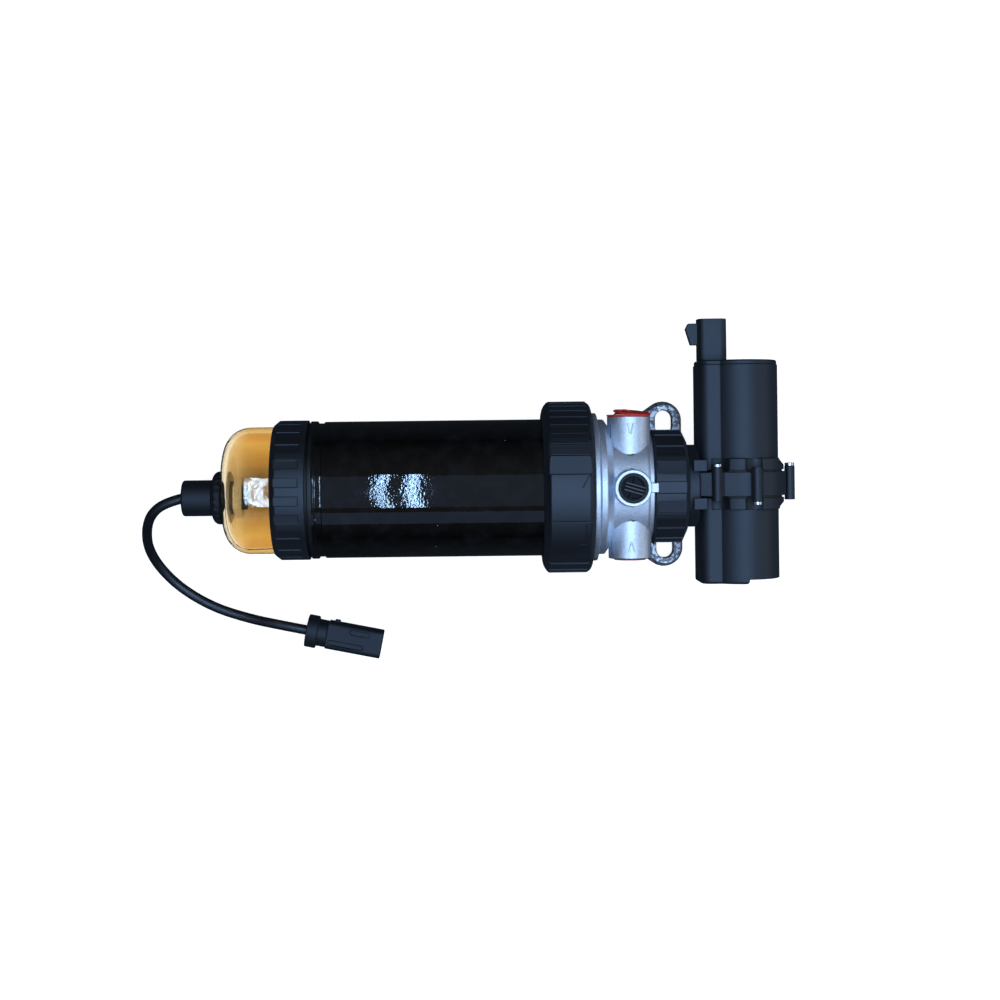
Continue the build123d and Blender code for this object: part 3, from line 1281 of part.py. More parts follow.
body_start = plug_plane.offset(BACKSHELL_LENGTH)
body_end = plug_plane.offset(BACKSHELL_LENGTH + PLUG_BODY_LENGTH)
body_top = Plane(
    origin=body_start.origin + Vector(0, 0, PLUG_BODY_HEIGHT / 2),
    x_dir=plug_dir,
    z_dir=(0, 0, 1),
)
with BuildPart() as connector_body:
    with BuildSketch(body_start):
        RectangleRounded(PLUG_BODY_HEIGHT, PLUG_BODY_WIDTH, PLUG_BODY_CORNER)
    extrude(amount=PLUG_BODY_LENGTH)
    with BuildSketch(body_end):
        RectangleRounded(
            PLUG_BODY_HEIGHT - 2 * PLUG_WALL,
            PLUG_BODY_WIDTH - 2 * PLUG_WALL,
            PLUG_BODY_CORNER - PLUG_WALL,
        )
    extrude(amount=-PLUG_CAVITY_DEPTH, mode=Mode.SUBTRACT)
    # Lens-shaped latch beside a long rounded recess, and a key on the far edge
    with BuildSketch(body_top):
        with Locations((PLUG_LATCH_X, PLUG_LATCH_Y)):
            SlotOverall(PLUG_LATCH_LENGTH, PLUG_LATCH_WIDTH)
    extrude(amount=PLUG_LATCH_RISE)
    with BuildSketch(body_top):
        with Locations((PLUG_SLOT_X, PLUG_SLOT_Y)):
            SlotOverall(PLUG_SLOT_LENGTH, PLUG_SLOT_WIDTH)
    extrude(amount=-PLUG_SLOT_DEPTH, mode=Mode.SUBTRACT)
    with BuildSketch(body_start.offset(PLUG_KEY_X)):
        with Locations((0, -PLUG_BODY_WIDTH / 2)):
            Rectangle(PLUG_BODY_HEIGHT / 2, 2 * PLUG_KEY_RISE)
    extrude(amount=PLUG_KEY_LENGTH)

with BuildPart() as connector_pins:
    with BuildSketch(body_end.offset(-PLUG_CAVITY_DEPTH)):
        with GridLocations(PLUG_PIN_SPACING, PLUG_PIN_SPACING, 2, 2):
            Circle(PLUG_PIN_R)
    extrude(amount=PLUG_PIN_LENGTH)

finish(filter_head.part, "filter_head", CAST)
finish(element_canister.part, "element_canister", BLACK)
finish(element_seal.part, "element_seal", RUBBER)
finish(media_bottom_cap.part, "media_bottom_cap", STEEL)
finish(media_top_cap.part, "media_top_cap", STEEL)
finish(filter_media.part, "filter_media", PAPER)
finish(centre_tube.part, "centre_tube", STEEL)
finish(spigot_grommet.part, "spigot_grommet", RUBBER)
finish(element_collar.part, "element_collar", BLACK)
finish(bowl.part, "bowl", AMBER)
finish(bowl_seal.part, "bowl_seal", RUBBER)
finish(bowl_ring.part, "bowl_ring", BLACK)
finish(drain_wheel.part, "drain_wheel", BLACK)
finish(sensor_body.part, "sensor_body", BLACK)
finish(sensor_seal.part, "sensor_seal", RUBBER)
finish(sensor_nut.part, "sensor_nut", BRASS)
finish(sensor_probes.part, "sensor_probes", BRASS)
finish(vent_plug.part, "vent_plug", BLACK)
finish(vent_plug_seal.part, "vent_plug_seal", RUBBER)
finish(port_cap_left.part, "port_cap_left", RED)
finish(port_cap_right, "port_cap_right", RED)
finish(pump_ring_nut.part, "pump_ring_nut", BLACK)
finish(neck_seal.part, "neck_seal", RUBBER)
finish(pump_manifold.part, "pump_manifold", BLACK)
finish(pump_upper_housing.part, "pump_upper_housing", BLACK)
finish(pump_lower_housing.part, "pump_lower_housing", BLACK)
finish(housing_gaskets.part, "housing_gaskets", RUBBER)
finish(pump_screws.part, "pump_screws", STEEL)
finish(pump_end_cap.part, "pump_end_cap", BLACK)
finish(power_terminals.part, "power_terminals", BRASS)
finish(lower_port_plate.part, "lower_port_plate", STEEL)
finish(chamber_ring.part, "chamber_ring", STEEL)
finish(impeller.part, "impeller", BRASS)
finish(upper_port_plate.part, "upper_port_plate", STEEL)
finish(flux_ring.part, "flux_ring", STEEL)
finish(magnets.part, "magnets", RUBBER)
finish(armature.part, "armature", STEEL)
finish(commutator.part, "commutator", COPPER)
finish(motor_shaft.part, "motor_shaft", STEEL)
finish(shaft_bushes.part, "shaft_bushes", BRASS)
finish(brush_plate.part, "brush_plate", BLACK)
finish(brushes.part, "brushes", RUBBER)
finish(sensor_cable.part, "sensor_cable", RUBBER)
finish(connector_backshell.part, "connector_backshell", BLACK)
finish(connector_body.part, "connector_body", BLACK)
finish(connector_pins.part, "connector_pins", BRASS)
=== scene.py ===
"""Looks of a fuel filter with a see-through bowl and an electric pump on its head."""

import json
from math import radians

import bmesh
import bpy
from mathutils import Matrix, Vector


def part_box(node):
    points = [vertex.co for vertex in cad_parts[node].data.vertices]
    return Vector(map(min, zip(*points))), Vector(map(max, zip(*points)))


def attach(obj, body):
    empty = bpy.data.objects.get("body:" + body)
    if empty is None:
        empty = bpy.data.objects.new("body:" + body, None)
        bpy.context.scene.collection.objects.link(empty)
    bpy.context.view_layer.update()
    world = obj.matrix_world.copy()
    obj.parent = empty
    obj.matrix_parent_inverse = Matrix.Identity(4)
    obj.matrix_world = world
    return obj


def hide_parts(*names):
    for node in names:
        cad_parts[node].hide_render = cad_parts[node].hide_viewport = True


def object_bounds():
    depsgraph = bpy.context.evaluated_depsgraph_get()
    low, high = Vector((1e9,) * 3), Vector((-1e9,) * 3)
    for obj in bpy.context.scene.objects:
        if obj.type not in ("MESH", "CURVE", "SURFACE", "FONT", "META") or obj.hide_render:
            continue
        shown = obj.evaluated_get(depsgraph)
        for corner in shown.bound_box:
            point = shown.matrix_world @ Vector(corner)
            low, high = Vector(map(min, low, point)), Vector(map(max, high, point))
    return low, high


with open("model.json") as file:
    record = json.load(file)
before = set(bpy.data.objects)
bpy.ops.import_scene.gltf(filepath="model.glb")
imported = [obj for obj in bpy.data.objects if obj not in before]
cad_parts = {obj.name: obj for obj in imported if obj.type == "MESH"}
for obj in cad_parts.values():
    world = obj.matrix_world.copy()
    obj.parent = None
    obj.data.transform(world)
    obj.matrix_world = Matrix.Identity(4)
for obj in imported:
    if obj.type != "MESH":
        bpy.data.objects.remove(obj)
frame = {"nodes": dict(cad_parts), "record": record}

CAD_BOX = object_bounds()

# Places read from the solids, and where the side ports end
HEAD_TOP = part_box("filter_head")[1].z
CAN_LOW, CAN_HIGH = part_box("element_canister")
COLLAR_LOW, COLLAR_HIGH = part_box("element_collar")
PLUG_LOW, PLUG_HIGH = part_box("vent_plug")
CAP_LOW, CAP_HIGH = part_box("port_cap_right")
AXIS_Z = (CAN_LOW.z + CAN_HIGH.z) / 2
PORT_X = (CAP_LOW.x + CAP_HIGH.x) / 2
PORT_Z = (CAP_LOW.z + CAP_HIGH.z) / 2
PORT_END_Y = 0.0436


class Value:
    """A shader value. Maths on it adds Math nodes to its material."""

    def __init__(self, look, socket):
        self.look = look
        self.socket = socket

    def maths(self, operation, *others):
        inputs = dict(enumerate([self, *others]))
        return self.look.node("ShaderNodeMath", {"operation": operation}, inputs)

    def __add__(self, other):
        return self.maths("ADD", other)

    __radd__ = __add__

    def __sub__(self, other):
        return self.maths("SUBTRACT", other)

    def __rsub__(self, other):
        return self.maths("MULTIPLY", -1.0) + other

    def __mul__(self, other):
        return self.maths("MULTIPLY", other)

    __rmul__ = __mul__

    def size(self):
        return self.maths("ABSOLUTE")

    def most(self, other):
        return self.maths("MAXIMUM", other)

    def spread(self, low, high, to_low=0.0, to_high=1.0):
        """The value between low and high, drawn out to another range and held at its ends."""
        inputs = {"Value": self, 1: low, 2: high, 3: to_low, 4: to_high}
        return self.look.node("ShaderNodeMapRange", {"clamp": True}, inputs)


class Nodes:
    """A node tree, of a material or of the world."""

    def __init__(self, tree):
        self.tree = tree

    def node(self, kind, settings=None, inputs=None, output=0):
        """Adds a node: its settings first, then the values or links of its sockets."""
        node = self.tree.nodes.new(kind)
        for name, value in (settings or {}).items():
            setattr(node, name, value)
        for name, value in (inputs or {}).items():
            if isinstance(value, Value):
                self.tree.links.new(value.socket, node.inputs[name])
            else:
                node.inputs[name].default_value = value
        return Value(self, node.outputs[output])

    def axes(self, point):
        """The three values of a vector."""
        split = self.node("ShaderNodeSeparateXYZ", inputs={0: point})
        return tuple(Value(self, axis) for axis in split.socket.node.outputs)

    def blend(self, factor, first, second):
        """Mix of two colours, each a colour or a link."""
        settings = {"data_type": "RGBA"}
        inputs = {0: factor, 6: with_alpha(first), 7: with_alpha(second)}
        return self.node("ShaderNodeMix", settings, inputs, output=2)

    def rays(self):
        """Masks of the rays that come from the camera, through glass and off a mirror."""
        path = self.node("ShaderNodeLightPath").socket.node.outputs
        names = ("Is Camera Ray", "Is Transmission Ray", "Is Glossy Ray")
        return tuple(Value(self, path[name]) for name in names)


class Look(Nodes):
    """One material: a Principled shader, and the nodes that feed it."""

    def __init__(self, name, **constants):
        self.material = bpy.data.materials.new(name)
        self.material.use_nodes = True
        super().__init__(self.material.node_tree)
        self.shader = self.tree.nodes["Principled BSDF"]
        for word, value in constants.items():
            self.shader.inputs[word.replace("_", " ")].default_value = value

    def place(self):
        """The point's own place on the object, as three values in metres."""
        point = self.node("ShaderNodeTexCoord", output="Object")
        return point, *self.axes(point)

    def noise(self, point, size, detail=2.0, rough=0.5):
        """Soft noise whose lumps are about one size, in metres."""
        inputs = {"Vector": point, "Scale": 1.0 / size, "Detail": detail, "Roughness": rough}
        return self.node("ShaderNodeTexNoise", inputs=inputs, output="Fac")

    def cells(self, point, size):
        """Distance to the nearest of scattered points about one size apart."""
        return self.node("ShaderNodeTexVoronoi", inputs={"Vector": point, "Scale": 1.0 / size})

    def facing(self, low, high):
        """Zero where the surface faces the eye, and one where it turns away."""
        edge = self.node("ShaderNodeLayerWeight", inputs={"Blend": 0.5}, output="Facing")
        return edge.spread(low, high)

    def bump(self, height, depth=1.0):
        """Normal of a relief as high as the height times the depth, in metres."""
        inputs = {"Height": height, "Distance": depth, "Strength": 1.0}
        return self.node("ShaderNodeBump", inputs=inputs)

    def feed(self, **values):
        """Links values to the shader's sockets."""
        for word, value in values.items():
            self.tree.links.new(value.socket, self.shader.inputs[word.replace("_", " ")])
        return self.material


def with_alpha(colour):
    """A colour with full alpha, or a link as it is."""
    return colour if isinstance(colour, Value) else (*colour, 1.0)


# Finishes
SEAM_X = -0.2222


def gloss_black_paint():
    """Gloss paint with orange peel, faint smudges and a few specks, duller on the end seam."""
    # Its reflections carry a painted blue tint of the light
    look = Look("gloss_black_paint", Specular_IOR_Level=0.5, Specular_Tint=(0.80, 0.92, 1.0, 1.0))
    point, x, y, z = look.place()
    peel = look.noise(point, 0.0015, 1.0)
    smudge = look.noise(point, 0.009, 3.0).spread(0.45, 0.75)
    specks = look.cells(point, 0.012).spread(0.02, 0.035, 1.0, 0.0)
    seam = x.spread(SEAM_X - 0.0004, SEAM_X, 1.0, 0.0)
    paint = look.blend(smudge, (0.0012, 0.0014, 0.0018), (0.0060, 0.0064, 0.0082))
    return look.feed(
        Base_Color=look.blend(specks, paint, (0.40, 0.42, 0.48)),
        Roughness=smudge * 0.03 + 0.015 + (look.facing(0.25, 0.55) * 0.4).most(seam * 0.5),
        Normal=look.bump(peel, 0.000011),
    )


# Tint of the light that dark plastic reflects
SKY_TINT = (0.65, 0.79, 1.0, 1.0)


def satin_black(name, base, rough, grain=0.0005, depth=0.00003, marks=None, level=0.8):
    """Moulded black plastic with a fine spark-eroded grain, and marks of a given height."""
    look = Look(name, Specular_IOR_Level=level, Specular_Tint=SKY_TINT)
    point, x, y, z = look.place()
    fine = look.noise(point, grain, 2.0)
    tone = look.noise(point, 0.012, 3.0)
    dark = tuple(0.7 * c for c in base)
    relief = fine * depth
    if marks:
        relief = relief + marks(x, y, z)
    return look.feed(
        Base_Color=look.blend(tone, dark, base),
        Roughness=tone * 0.06 + fine * 0.06 + look.facing(0.3, 0.7) * 0.4 + rough - 0.06,
        Normal=look.bump(relief),
    )


def bar(value, low, high, soft=0.00025):
    """One where the value lies between two places, with a soft edge."""
    rise = value.spread(low - soft / 2, low + soft / 2)
    return rise * value.spread(high - soft / 2, high + soft / 2, 1.0, 0.0)


def stroke(x, y, start, end, width):
    """One along a straight stroke between two points of the x-y plane."""
    run = Vector(end) - Vector(start)
    length = run.length
    along = (x - start[0]) * (run.x / length) + (y - start[1]) * (run.y / length)
    aside = (x - start[0]) * (run.y / length) - (y - start[1]) * (run.x / length)
    return bar(along, 0.0, length) * bar(aside, -width / 2, width / 2)


COLLAR_MARK_DEPTH = 0.0005


def collar_marks(x, y, z):
    """Sunk lines on the collar's top: a slanting one on its pad and a corner beside it."""
    top = z.spread(AXIS_Z, AXIS_Z + 0.001)
    slant = stroke(x, y, (-0.0594, 0.0008), (-0.0546, 0.0090), 0.0007)
    leg = stroke(x, y, (-0.0568, -0.0212), (-0.0568, -0.0331), 0.0009)
    foot = stroke(x, y, (-0.0606, -0.0331), (-0.0568, -0.0331), 0.0009)
    return top * slant.most(leg).most(foot) * -COLLAR_MARK_DEPTH


# Where the mounting ears begin
EAR_X = -0.0170
EAR_Y = 0.0365


def cast_aluminium():
    """Sand-cast metal, bright where it is machined and scuffed dark on the mounting ears."""
    look = Look("cast_aluminium", Metallic=1.0)
    point, x, y, z = look.place()
    sand = look.noise(point, 0.0009, 3.0, 0.6)
    lumps = look.noise(point, 0.006, 2.0)
    machined = machined_faces(y, z)
    ears = x.spread(EAR_X, EAR_X + 0.001) * y.size().spread(EAR_Y, EAR_Y + 0.001)
    scuffs = ears * look.noise(point, 0.0024, 4.0, 0.7).spread(0.48, 0.56)
    # The blue in the cast and machined colours here is a painted tint of the bluish light that
    # the metal reflects
    tone = look.blend(lumps, (0.60, 0.69, 0.82), (0.78, 0.87, 0.98))
    cast = look.blend(sand.spread(0.3, 0.55), (0.54, 0.61, 0.71), tone)
    worn = look.blend(scuffs * 0.8, cast, (0.12, 0.13, 0.15))
    turned = look.noise(point, 0.0004, 1.0)
    grain = (sand + lumps * 0.8) * 0.00014 + scuffs * 0.0002
    return look.feed(
        Base_Color=look.blend(machined, worn, (0.86, 0.91, 0.97)),
        Roughness=(1 - machined) * (sand * 0.14 + 0.46) + machined * (turned * 0.1 + 0.20),
        Normal=look.bump((1 - machined) * grain),
    )


def machined_faces(y, z):
    """Mask of the cast head's machined faces: the front port's rim and the side ports' ends."""
    band = 0.0006
    front = z.spread(HEAD_TOP - 2 * band, HEAD_TOP - band)
    side = y.size().spread(PORT_END_Y - band, PORT_END_Y - band / 2) * z.spread(0.050, 0.052)
    return front.most(side)


def amber_plastic():
    """Tinted see-through plastic with a wavy moulded skin, with painted shade along the middle
    and at the top and bottom edges, and painted light at the left end.
    """
    look = Look("amber_plastic", Transmission_Weight=1.0, IOR=1.45, Specular_IOR_Level=0.5)
    point, x, y, z = look.place()
    ripple = look.noise(point, 0.009, 1.0)
    skin = look.noise(point, 0.0018, 1.0)
    haze = look.noise(point, 0.003, 2.0)
    thin = look.blend(ripple, (0.84, 0.58, 0.22), (0.90, 0.65, 0.28))
    # Painted shade: a darker band along the middle, standing in for the shadowed ground seen
    # through the bowl
    painted_shade_middle = look.blend(y.size().spread(0.009, 0.016), (0.46, 0.34, 0.17), (0.62, 0.43, 0.17))
    wall = look.blend(y.size().spread(0.014, 0.031), painted_shade_middle, thin)
    # Painted shade: a deeper, darker orange along the bowl's top and bottom edges
    rim = look.blend(y.size().spread(0.031, 0.035), wall, (0.74, 0.45, 0.14))
    # Painted light: the bowl's left end turns paler
    end = x.spread(-0.2750, -0.2630, 0.8, 0.0)
    return look.feed(
        Base_Color=look.blend(end, rim, (0.90, 0.74, 0.48)),
        Roughness=haze * 0.04 + 0.01,
        Normal=look.bump(ripple * 0.8 + skin * 0.6, 0.000014),
    )


def plain_metal(name, base, rough, grain=0.0006):
    """Turned or plated metal with faint tool marks."""
    look = Look(name, Metallic=1.0)
    point, x, y, z = look.place()
    marks = look.noise(point, grain, 3.0)
    stain = look.noise(point, 0.004, 2.0)
    dull = tuple(0.8 * c for c in base)
    return look.feed(
        Base_Color=look.blend(stain, dull, base),
        Roughness=marks * 0.15 + rough - 0.05,
        Normal=look.bump(marks, 0.00002),
    )


def plain_solid(name, base, rough, lumps=0.002, depth=0.00004):
    """Rubber, paper or moulded plastic with a soft mottle."""
    look = Look(name)
    point, x, y, z = look.place()
    mottle = look.noise(point, lumps, 3.0)
    dull = tuple(0.7 * c for c in base)
    return look.feed(
        Base_Color=look.blend(mottle, dull, base),
        Roughness=mottle * 0.15 + rough - 0.05,
        Normal=look.bump(mottle, depth),
    )


def cable_sheath():
    """Smooth black cable jacket with faint scuffs."""
    look = Look("cable_sheath", Specular_IOR_Level=0.9, Specular_Tint=SKY_TINT)
    point, x, y, z = look.place()
    fine = look.noise(point, 0.0006, 2.0)
    scuffs = look.noise(point, 0.008, 3.0)
    return look.feed(
        Base_Color=look.blend(scuffs, (0.002, 0.0024, 0.003), (0.005, 0.0058, 0.007)),
        Roughness=scuffs * 0.10 + fine * 0.06 + 0.34,
        Normal=look.bump(fine + scuffs, 0.00003),
    )


PLASTIC = satin_black("satin_black_plastic", (0.003, 0.0034, 0.004), 0.52)
COLLAR_PLASTIC = satin_black("collar_plastic", (0.003, 0.0034, 0.004), 0.52, marks=collar_marks)
PLUG_PLASTIC = satin_black("plug_plastic", (0.0015, 0.0016, 0.0018), 0.5, level=0.2)
MATT_PLASTIC = satin_black("matt_black_plastic", (0.003, 0.0034, 0.004), 0.60, level=0.65)
PUMP_PLASTIC = satin_black("pump_plastic", (0.003, 0.0036, 0.0045), 0.56, 0.0004)
PAINT = gloss_black_paint()
CAST = cast_aluminium()
AMBER = amber_plastic()
RED = plain_solid("red_cap_plastic", (0.90, 0.045, 0.03), 0.45)
# Paler grey plastic for painted glints on the vent plug's thread crests and slot ridges
GLINT_GREY_PLASTIC = plain_solid("worn_black_plastic", (0.075, 0.082, 0.095), 0.45, lumps=0.0008)
RUBBER = plain_solid("seal_rubber", (0.016, 0.016, 0.017), 0.62)
PAPER = plain_solid("filter_paper", (0.72, 0.56, 0.30), 0.85, 0.0008, 0.0001)
WHITE = plain_solid("white_plastic", (0.72, 0.72, 0.69), 0.5)
FERRITE = plain_solid("ferrite", (0.045, 0.045, 0.05), 0.6)
STEEL = plain_metal("plated_steel", (0.78, 0.79, 0.80), 0.24)
BRASS = plain_metal("brass", (0.80, 0.62, 0.30), 0.30)
COPPER = plain_metal("copper", (0.80, 0.42, 0.24), 0.30)
SHEATH = cable_sheath()

# What each solid is finished with, where its own surface shows or it lies inside
FINISHES = {
    PAINT: ("element_canister",),
    CAST: ("filter_head",),
    AMBER: ("bowl",),
    COLLAR_PLASTIC: ("element_collar",),
    PLASTIC: ("bowl_ring", "pump_ring_nut"),
    PLUG_PLASTIC: ("vent_plug",),
    MATT_PLASTIC: (
        "sensor_body", "drain_wheel", "brush_plate", "connector_backshell", "connector_body",
    ),
    PUMP_PLASTIC: ("pump_manifold", "pump_upper_housing", "pump_lower_housing", "pump_end_cap"),
    RED: ("port_cap_left", "port_cap_right"),
    RUBBER: (
        "element_seal", "spigot_grommet", "bowl_seal", "sensor_seal", "vent_plug_seal",
        "neck_seal", "housing_gaskets",
    ),
    PAPER: ("filter_media",),
    WHITE: ("media_bottom_cap", "media_top_cap", "centre_tube"),
    FERRITE: ("magnets", "brushes"),
    STEEL: (
        "pump_screws", "lower_port_plate", "chamber_ring", "upper_port_plate", "flux_ring",
        "armature", "motor_shaft", "sensor_nut", "sensor_probes",
    ),
    BRASS: ("power_terminals", "impeller", "shaft_bushes", "connector_pins"),
    COPPER: ("commutator",),
    SHEATH: ("sensor_cable",),
}
FINISH_OF = {node: look for look, nodes in FINISHES.items() for node in nodes}
for node, look in FINISH_OF.items():
    solid = frame["nodes"][node]
    solid.data.materials.clear()
    solid.data.materials.append(look)

# Each solid's body and material slot
BODIES = frame["record"]["behaviour"]["bodies"]
BODY_OF = {node: body for body, nodes in BODIES.items() for node in nodes}


def show(piece, node, look=None):
    """Sends a new piece out on the body and slot of the solid that it stands for."""
    bpy.context.collection.objects.link(piece)
    piece.data.materials.clear()
    piece.data.materials.append(look or FINISH_OF[node])
    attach(piece, BODY_OF[node])


# Edges sharper than this are bevelled
SHARP_DEG = 30.0


def rounded(node, width):
    """A merged copy of a solid with its edges rounded, which shows in its place."""
    mesh = frame["nodes"][node].data.copy()
    mesh.name = f"{node}_finished"
    bm = bmesh.new()
    bm.from_mesh(mesh)
    bmesh.ops.remove_doubles(bm, verts=bm.verts, dist=0.000002)
    bmesh.ops.dissolve_limit(bm, angle_limit=radians(0.5), verts=bm.verts, edges=bm.edges)
    for face in bm.faces:
        face.smooth = True
    bm.to_mesh(mesh)
    bm.free()
    piece = bpy.data.objects.new(f"{node}_finished", mesh)
    show(piece, node)
    bevel = piece.modifiers.new("edges", "BEVEL")
    bevel.width = width
    bevel.segments = 2
    bevel.limit_method = "ANGLE"
    bevel.angle_limit = radians(SHARP_DEG)
    bevel.use_clamp_overlap = False
    bevel.harden_normals = False
    normals = piece.modifiers.new("normals", "WEIGHTED_NORMAL")
    normals.keep_sharp = True
    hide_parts(node)
    return piece


# How far the edges of the solids seen from outside are rounded, in metres
ROUNDED = {
    "filter_head": 0.0006,
    "element_canister": 0.0004,
    "element_collar": 0.0003,
    "bowl_ring": 0.0003,
    "drain_wheel": 0.0003,
    "sensor_body": 0.0005,
    "vent_plug": 0.0002,
    "port_cap_left": 0.0003,
    "port_cap_right": 0.0003,
    "pump_ring_nut": 0.0003,
    "pump_manifold": 0.0003,
    "pump_upper_housing": 0.0004,
    "pump_lower_housing": 0.0004,
    "pump_screws": 0.0003,
    "pump_end_cap": 0.0004,
    "connector_backshell": 0.0006,
    "connector_body": 0.0004,
}
finished = {node: rounded(node, width) for node, width in ROUNDED.items()}


def added(name, bm, node, edge, look=None, segments=1):
    """A piece of its own from new mesh, which moves with a solid, with its edges bevelled."""
    mesh = bpy.data.meshes.new(name)
    bm.to_mesh(mesh)
    bm.free()
    piece = bpy.data.objects.new(name, mesh)
    show(piece, node, look)
    bevel = piece.modifiers.new("edges", "BEVEL")
    bevel.width = edge
    bevel.segments = segments
    bevel.limit_method = "ANGLE"
    bevel.angle_limit = radians(SHARP_DEG)


def block(bm, place, size):
    """Adds a block of that size to a mesh."""
    bmesh.ops.create_cube(bm, size=1.0, matrix=place @ Matrix.Diagonal((*size, 1.0)))


# Fine grip ribs over the collar's ramps, on both of its sides
GRIP_RIBS = 8
GRIP_PITCH_DEG = 7.9
GRIP_START_DEG = 25.0
GRIP_WIDTH = 0.0046
GRIP_SINK = 0.0015
GRIP_RISE = 0.0004
GRIP_LENGTH = 0.0235
COLLAR_R = (COLLAR_HIGH.z - COLLAR_LOW.z) / 2
COLLAR_ROUND = 0.0036


def collar_grip():
    bm = bmesh.new()
    middle_x = COLLAR_LOW.x + COLLAR_ROUND + GRIP_LENGTH / 2
    axis = Matrix.Translation((middle_x, 0.0, AXIS_Z))
    out = Matrix.Translation((0.0, 0.0, COLLAR_R + (GRIP_RISE - GRIP_SINK) / 2))
    for side in (0.0, 180.0):
        for i in range(GRIP_RIBS):
            turn = Matrix.Rotation(radians(-GRIP_START_DEG - i * GRIP_PITCH_DEG - side), 4, "X")
            block(bm, axis @ turn @ out, (GRIP_LENGTH, GRIP_WIDTH, GRIP_SINK + GRIP_RISE))
    added("collar_grip", bm, "element_collar", 0.0003, segments=2)


collar_grip()

# Raised flow arrows on both side ports, pointing into the head
PORT_R = 0.0132
ARROW_MIDDLE_Y = 0.0360
ARROW_ARM = 0.0064
ARROW_SLANT_DEG = 14.5
ARROW_TURN_DEG = 4.2
ARROW_WIDTH = 0.0007
ARROW_SINK = 0.0010
ARROW_RISE = 0.0007


def flow_arrows():
    bm = bmesh.new()
    axis = Matrix.Translation((PORT_X, 0.0, PORT_Z))
    out = PORT_R + (ARROW_RISE - ARROW_SINK) / 2
    for port in (-1, 1):
        for arm in (-1, 1):
            turn = Matrix.Rotation(radians(arm * ARROW_TURN_DEG), 4, "Y")
            middle = Matrix.Translation((0.0, port * ARROW_MIDDLE_Y, out))
            slant = Matrix.Rotation(radians(-arm * port * ARROW_SLANT_DEG), 4, "Z")
            size = (ARROW_WIDTH, ARROW_ARM, ARROW_SINK + ARROW_RISE)
            block(bm, axis @ turn @ middle @ slant, size)
    added("flow_arrows", bm, "filter_head", 0.0002)


flow_arrows()

# Painted highlights in paler grey plastic on the vent plug's face: a ring of thread crests, and
# ridges beside its two slots
CREST_COUNT = 44
CREST_R = 0.0080
CREST_SIZE = (0.0009, 0.0006, 0.0007)
RIDGE_TILT_DEG = -17.0
RIDGE_SHIFT = 0.0009
RIDGE_SIZE = (0.0120, 0.0008, 0.0005)
RIDGE_PLACES = (-0.0021, 0.0, 0.0021)


def plug_marks():
    bm = bmesh.new()
    face = Matrix.Translation(((PLUG_LOW.x + PLUG_HIGH.x) / 2, 0.0, PLUG_HIGH.z))
    for i in range(CREST_COUNT):
        turn = Matrix.Rotation(radians(360 * i / CREST_COUNT), 4, "Z")
        block(bm, face @ turn @ Matrix.Translation((CREST_R, 0.0, 0.0)), CREST_SIZE)
    turn = Matrix.Rotation(radians(RIDGE_TILT_DEG), 4, "Z")
    for aside in RIDGE_PLACES:
        block(bm, face @ turn @ Matrix.Translation((RIDGE_SHIFT, aside, 0.0)), RIDGE_SIZE)
    added("vent_plug_marks", bm, "vent_plug", 0.00015, GLINT_GREY_PLASTIC)


plug_marks()

# Pull lip of the upper port cap, which leans off its flange to the left and below
LIP_X = -0.0262
LIP_Y = PORT_END_Y + 0.0023
LIP_R = 0.0116
LIP_THICK = 0.0011
LIP_LEFT_DEG = 5.0
LIP_BELOW_DEG = 6.5


def cap_lip():
    bm = bmesh.new()
    bmesh.ops.create_cone(
        bm,
        cap_ends=True,
        segments=64,
        radius1=LIP_R,
        radius2=LIP_R,
        depth=LIP_THICK,
        matrix=Matrix.Rotation(radians(90), 4, "X"),
    )
    middle = Matrix.Translation((LIP_X, LIP_Y, PORT_Z))
    left = Matrix.Rotation(radians(-LIP_LEFT_DEG), 4, "Z")
    below = Matrix.Rotation(radians(LIP_BELOW_DEG), 4, "X")
    bmesh.ops.transform(bm, matrix=middle @ left @ below, verts=bm.verts)
    added("cap_lip", bm, "port_cap_left", 0.0004, segments=2)


cap_lip()

# Sensor cable, on the route of its solid
CABLE_ROUTE = (
    (-0.3061, -0.0043, 0.0545),
    (-0.3174, -0.0070, 0.0545),
    (-0.3272, -0.0146, 0.0489),
    (-0.3320, -0.0252, 0.0372),
    (-0.3332, -0.0374, 0.0238),
    (-0.3280, -0.0509, 0.0108),
    (-0.3152, -0.0651, 0.0038),
    (-0.2947, -0.0774, 0.0032),
    (-0.2713, -0.0850, 0.0034),
    (-0.2503, -0.0887, 0.0106),
    (-0.2333, -0.0921, 0.0106),
)
CABLE_DIAMETER = 0.0064


def sensor_cable():
    curve = bpy.data.curves.new("sensor_lead", "CURVE")
    curve.dimensions = "3D"
    spline = curve.splines.new("NURBS")
    spline.points.add(len(CABLE_ROUTE) - 1)
    for point, place in zip(spline.points, CABLE_ROUTE):
        point.co = (*place, 1.0)
    spline.order_u = 3
    spline.use_endpoint_u = True
    spline.resolution_u = 12
    curve.bevel_depth = CABLE_DIAMETER / 2
    curve.bevel_resolution = 6
    curve.use_fill_caps = True
    cable = bpy.data.objects.new("sensor_lead", curve)
    show(cable, "sensor_cable")
    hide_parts("sensor_cable")


sensor_cable()

# Camera straight above, as far off as the photograph's perspective says
PHOTO_PIXELS = 1000
OPTICAL_CENTRE = (470, 440)
CAMERA_X = -0.1260
CAMERA_Y = 0.0301
CAMERA_ABOVE_AXIS = 1.1
CAMERA_LENS = 63.4
CAMERA_ROLL_DEG = -0.67


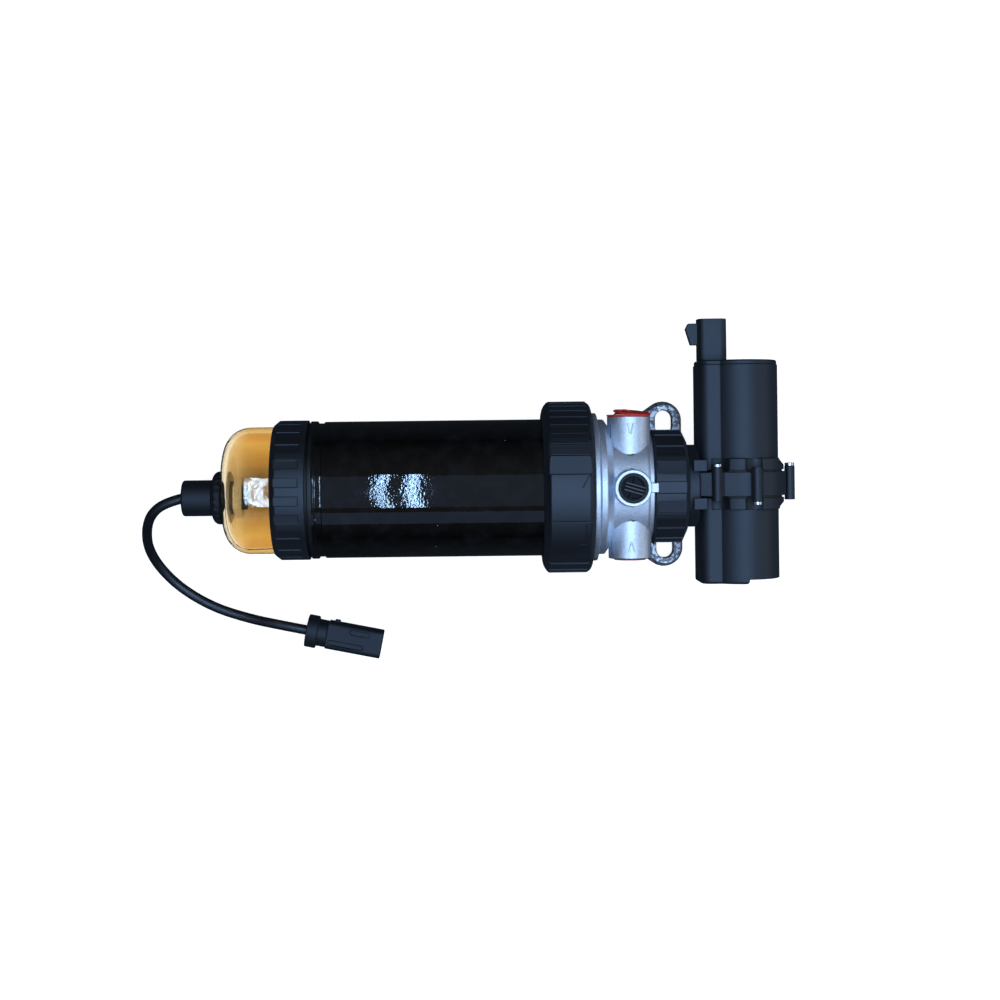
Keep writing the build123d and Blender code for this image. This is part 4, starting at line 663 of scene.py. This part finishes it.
def make_camera():
    data = bpy.data.cameras.new("camera")
    data.lens = CAMERA_LENS
    data.shift_x = (PHOTO_PIXELS / 2 - OPTICAL_CENTRE[0]) / PHOTO_PIXELS
    data.shift_y = (OPTICAL_CENTRE[1] - PHOTO_PIXELS / 2) / PHOTO_PIXELS
    camera = bpy.data.objects.new("camera", data)
    bpy.context.collection.objects.link(camera)
    camera.location = (CAMERA_X, CAMERA_Y, AXIS_Z + CAMERA_ABOVE_AXIS)
    camera.rotation_euler = (0.0, 0.0, radians(CAMERA_ROLL_DEG))
    bpy.context.scene.camera = camera


make_camera()

# Floor, whose colour the camera sees as white apart from some of the object's shadow
FLOOR_SIZE = 12.0
FLOOR_COLOUR = (0.62, 0.61, 0.60)
FLOOR_UNSEEN = (0.03, 0.03, 0.03)
FLOOR_GLOW = 0.85
MIRRORED_SHARE = 0.02


def make_floor():
    bm = bmesh.new()
    bmesh.ops.create_grid(bm, x_segments=1, y_segments=1, size=FLOOR_SIZE / 2)
    mesh = bpy.data.meshes.new("floor")
    bm.to_mesh(mesh)
    bm.free()
    floor = bpy.data.objects.new("floor", mesh)
    bpy.context.collection.objects.link(floor)
    floor.location = (CAMERA_X, 0.0, min(CAD_BOX[0].z, 0.0))
    look = Look("floor", Roughness=0.9, Specular_IOR_Level=0.0, Emission_Strength=FLOOR_GLOW)
    straight, through, mirrored = look.rays()
    seen = straight.most(through).most(mirrored * MIRRORED_SHARE)
    look.feed(
        Base_Color=look.blend(seen, FLOOR_UNSEEN, FLOOR_COLOUR),
        Emission_Color=look.blend(seen, (0.0, 0.0, 0.0), (1.0, 1.0, 1.0)),
    )
    mesh.materials.append(look.material)


make_floor()


# Lights
def area_light(name, place, size, watts, colour, turn_deg=0.0):
    """A rectangular light that points straight down, or turned about Y toward one side."""
    data = bpy.data.lights.new(name, "AREA")
    data.shape = "RECTANGLE"
    data.size, data.size_y = size
    data.energy = watts
    data.color = colour
    light = bpy.data.objects.new(name, data)
    bpy.context.collection.objects.link(light)
    light.location = place
    light.rotation_euler = (0.0, radians(turn_deg), 0.0)
    light.visible_camera = False


TUBE_COLOUR = (0.51, 0.72, 1.0)
PANEL_COLOUR = (0.48, 0.64, 1.0)
WALL_COLOUR = (0.84, 0.90, 1.0)
area_light("overhead_panel", (CAMERA_X, -0.09, 1.45), (2.4, 1.36), 3.2, PANEL_COLOUR)
area_light("front_panel", (CAMERA_X, -1.62, 1.42), (2.6, 1.16), 5.0, PANEL_COLOUR)
area_light("first_tube", (-0.250, -0.06, 1.40), (0.008, 1.40), 1.7, TUBE_COLOUR)
area_light("second_tube", (-0.207, -0.06, 1.40), (0.012, 1.40), 2.3, TUBE_COLOUR)
area_light("third_tube", (-0.411, -0.06, 1.40), (0.008, 1.30), 1.5, TUBE_COLOUR)
area_light("fourth_tube", (-0.429, -0.06, 1.40), (0.008, 1.30), 1.5, TUBE_COLOUR)
area_light("right_tubes", (0.26, -0.06, 1.40), (0.36, 1.40), 9.0, TUBE_COLOUR)
area_light("right_wall", (1.45, 0.0, 0.62), (1.1, 1.6), 5.5, WALL_COLOUR, 90.0)

# Surroundings: dim and darker toward the horizon, but white where the camera sees them
HORIZON_STRENGTH = 0.012
ZENITH_STRENGTH = 0.19
ROOM_COLOUR = (1.0, 0.86, 0.74)


def make_world():
    world = bpy.data.worlds.new("world")
    bpy.context.scene.world = world
    world.use_nodes = True
    background = world.node_tree.nodes["Background"]
    sky = Nodes(world.node_tree)
    height = sky.axes(sky.node("ShaderNodeTexCoord", output="Generated"))[2]
    dim = height.spread(0.0, 1.0, HORIZON_STRENGTH, ZENITH_STRENGTH)
    straight, through, mirrored = sky.rays()
    seen = straight.most(through).most(mirrored * MIRRORED_SHARE)
    white = sky.blend(seen, ROOM_COLOUR, (1.0, 1.0, 1.0))
    world.node_tree.links.new(white.socket, background.inputs["Color"])
    world.node_tree.links.new(dim.most(seen).socket, background.inputs["Strength"])


make_world()

bpy.context.scene.view_settings.view_transform = "Standard"
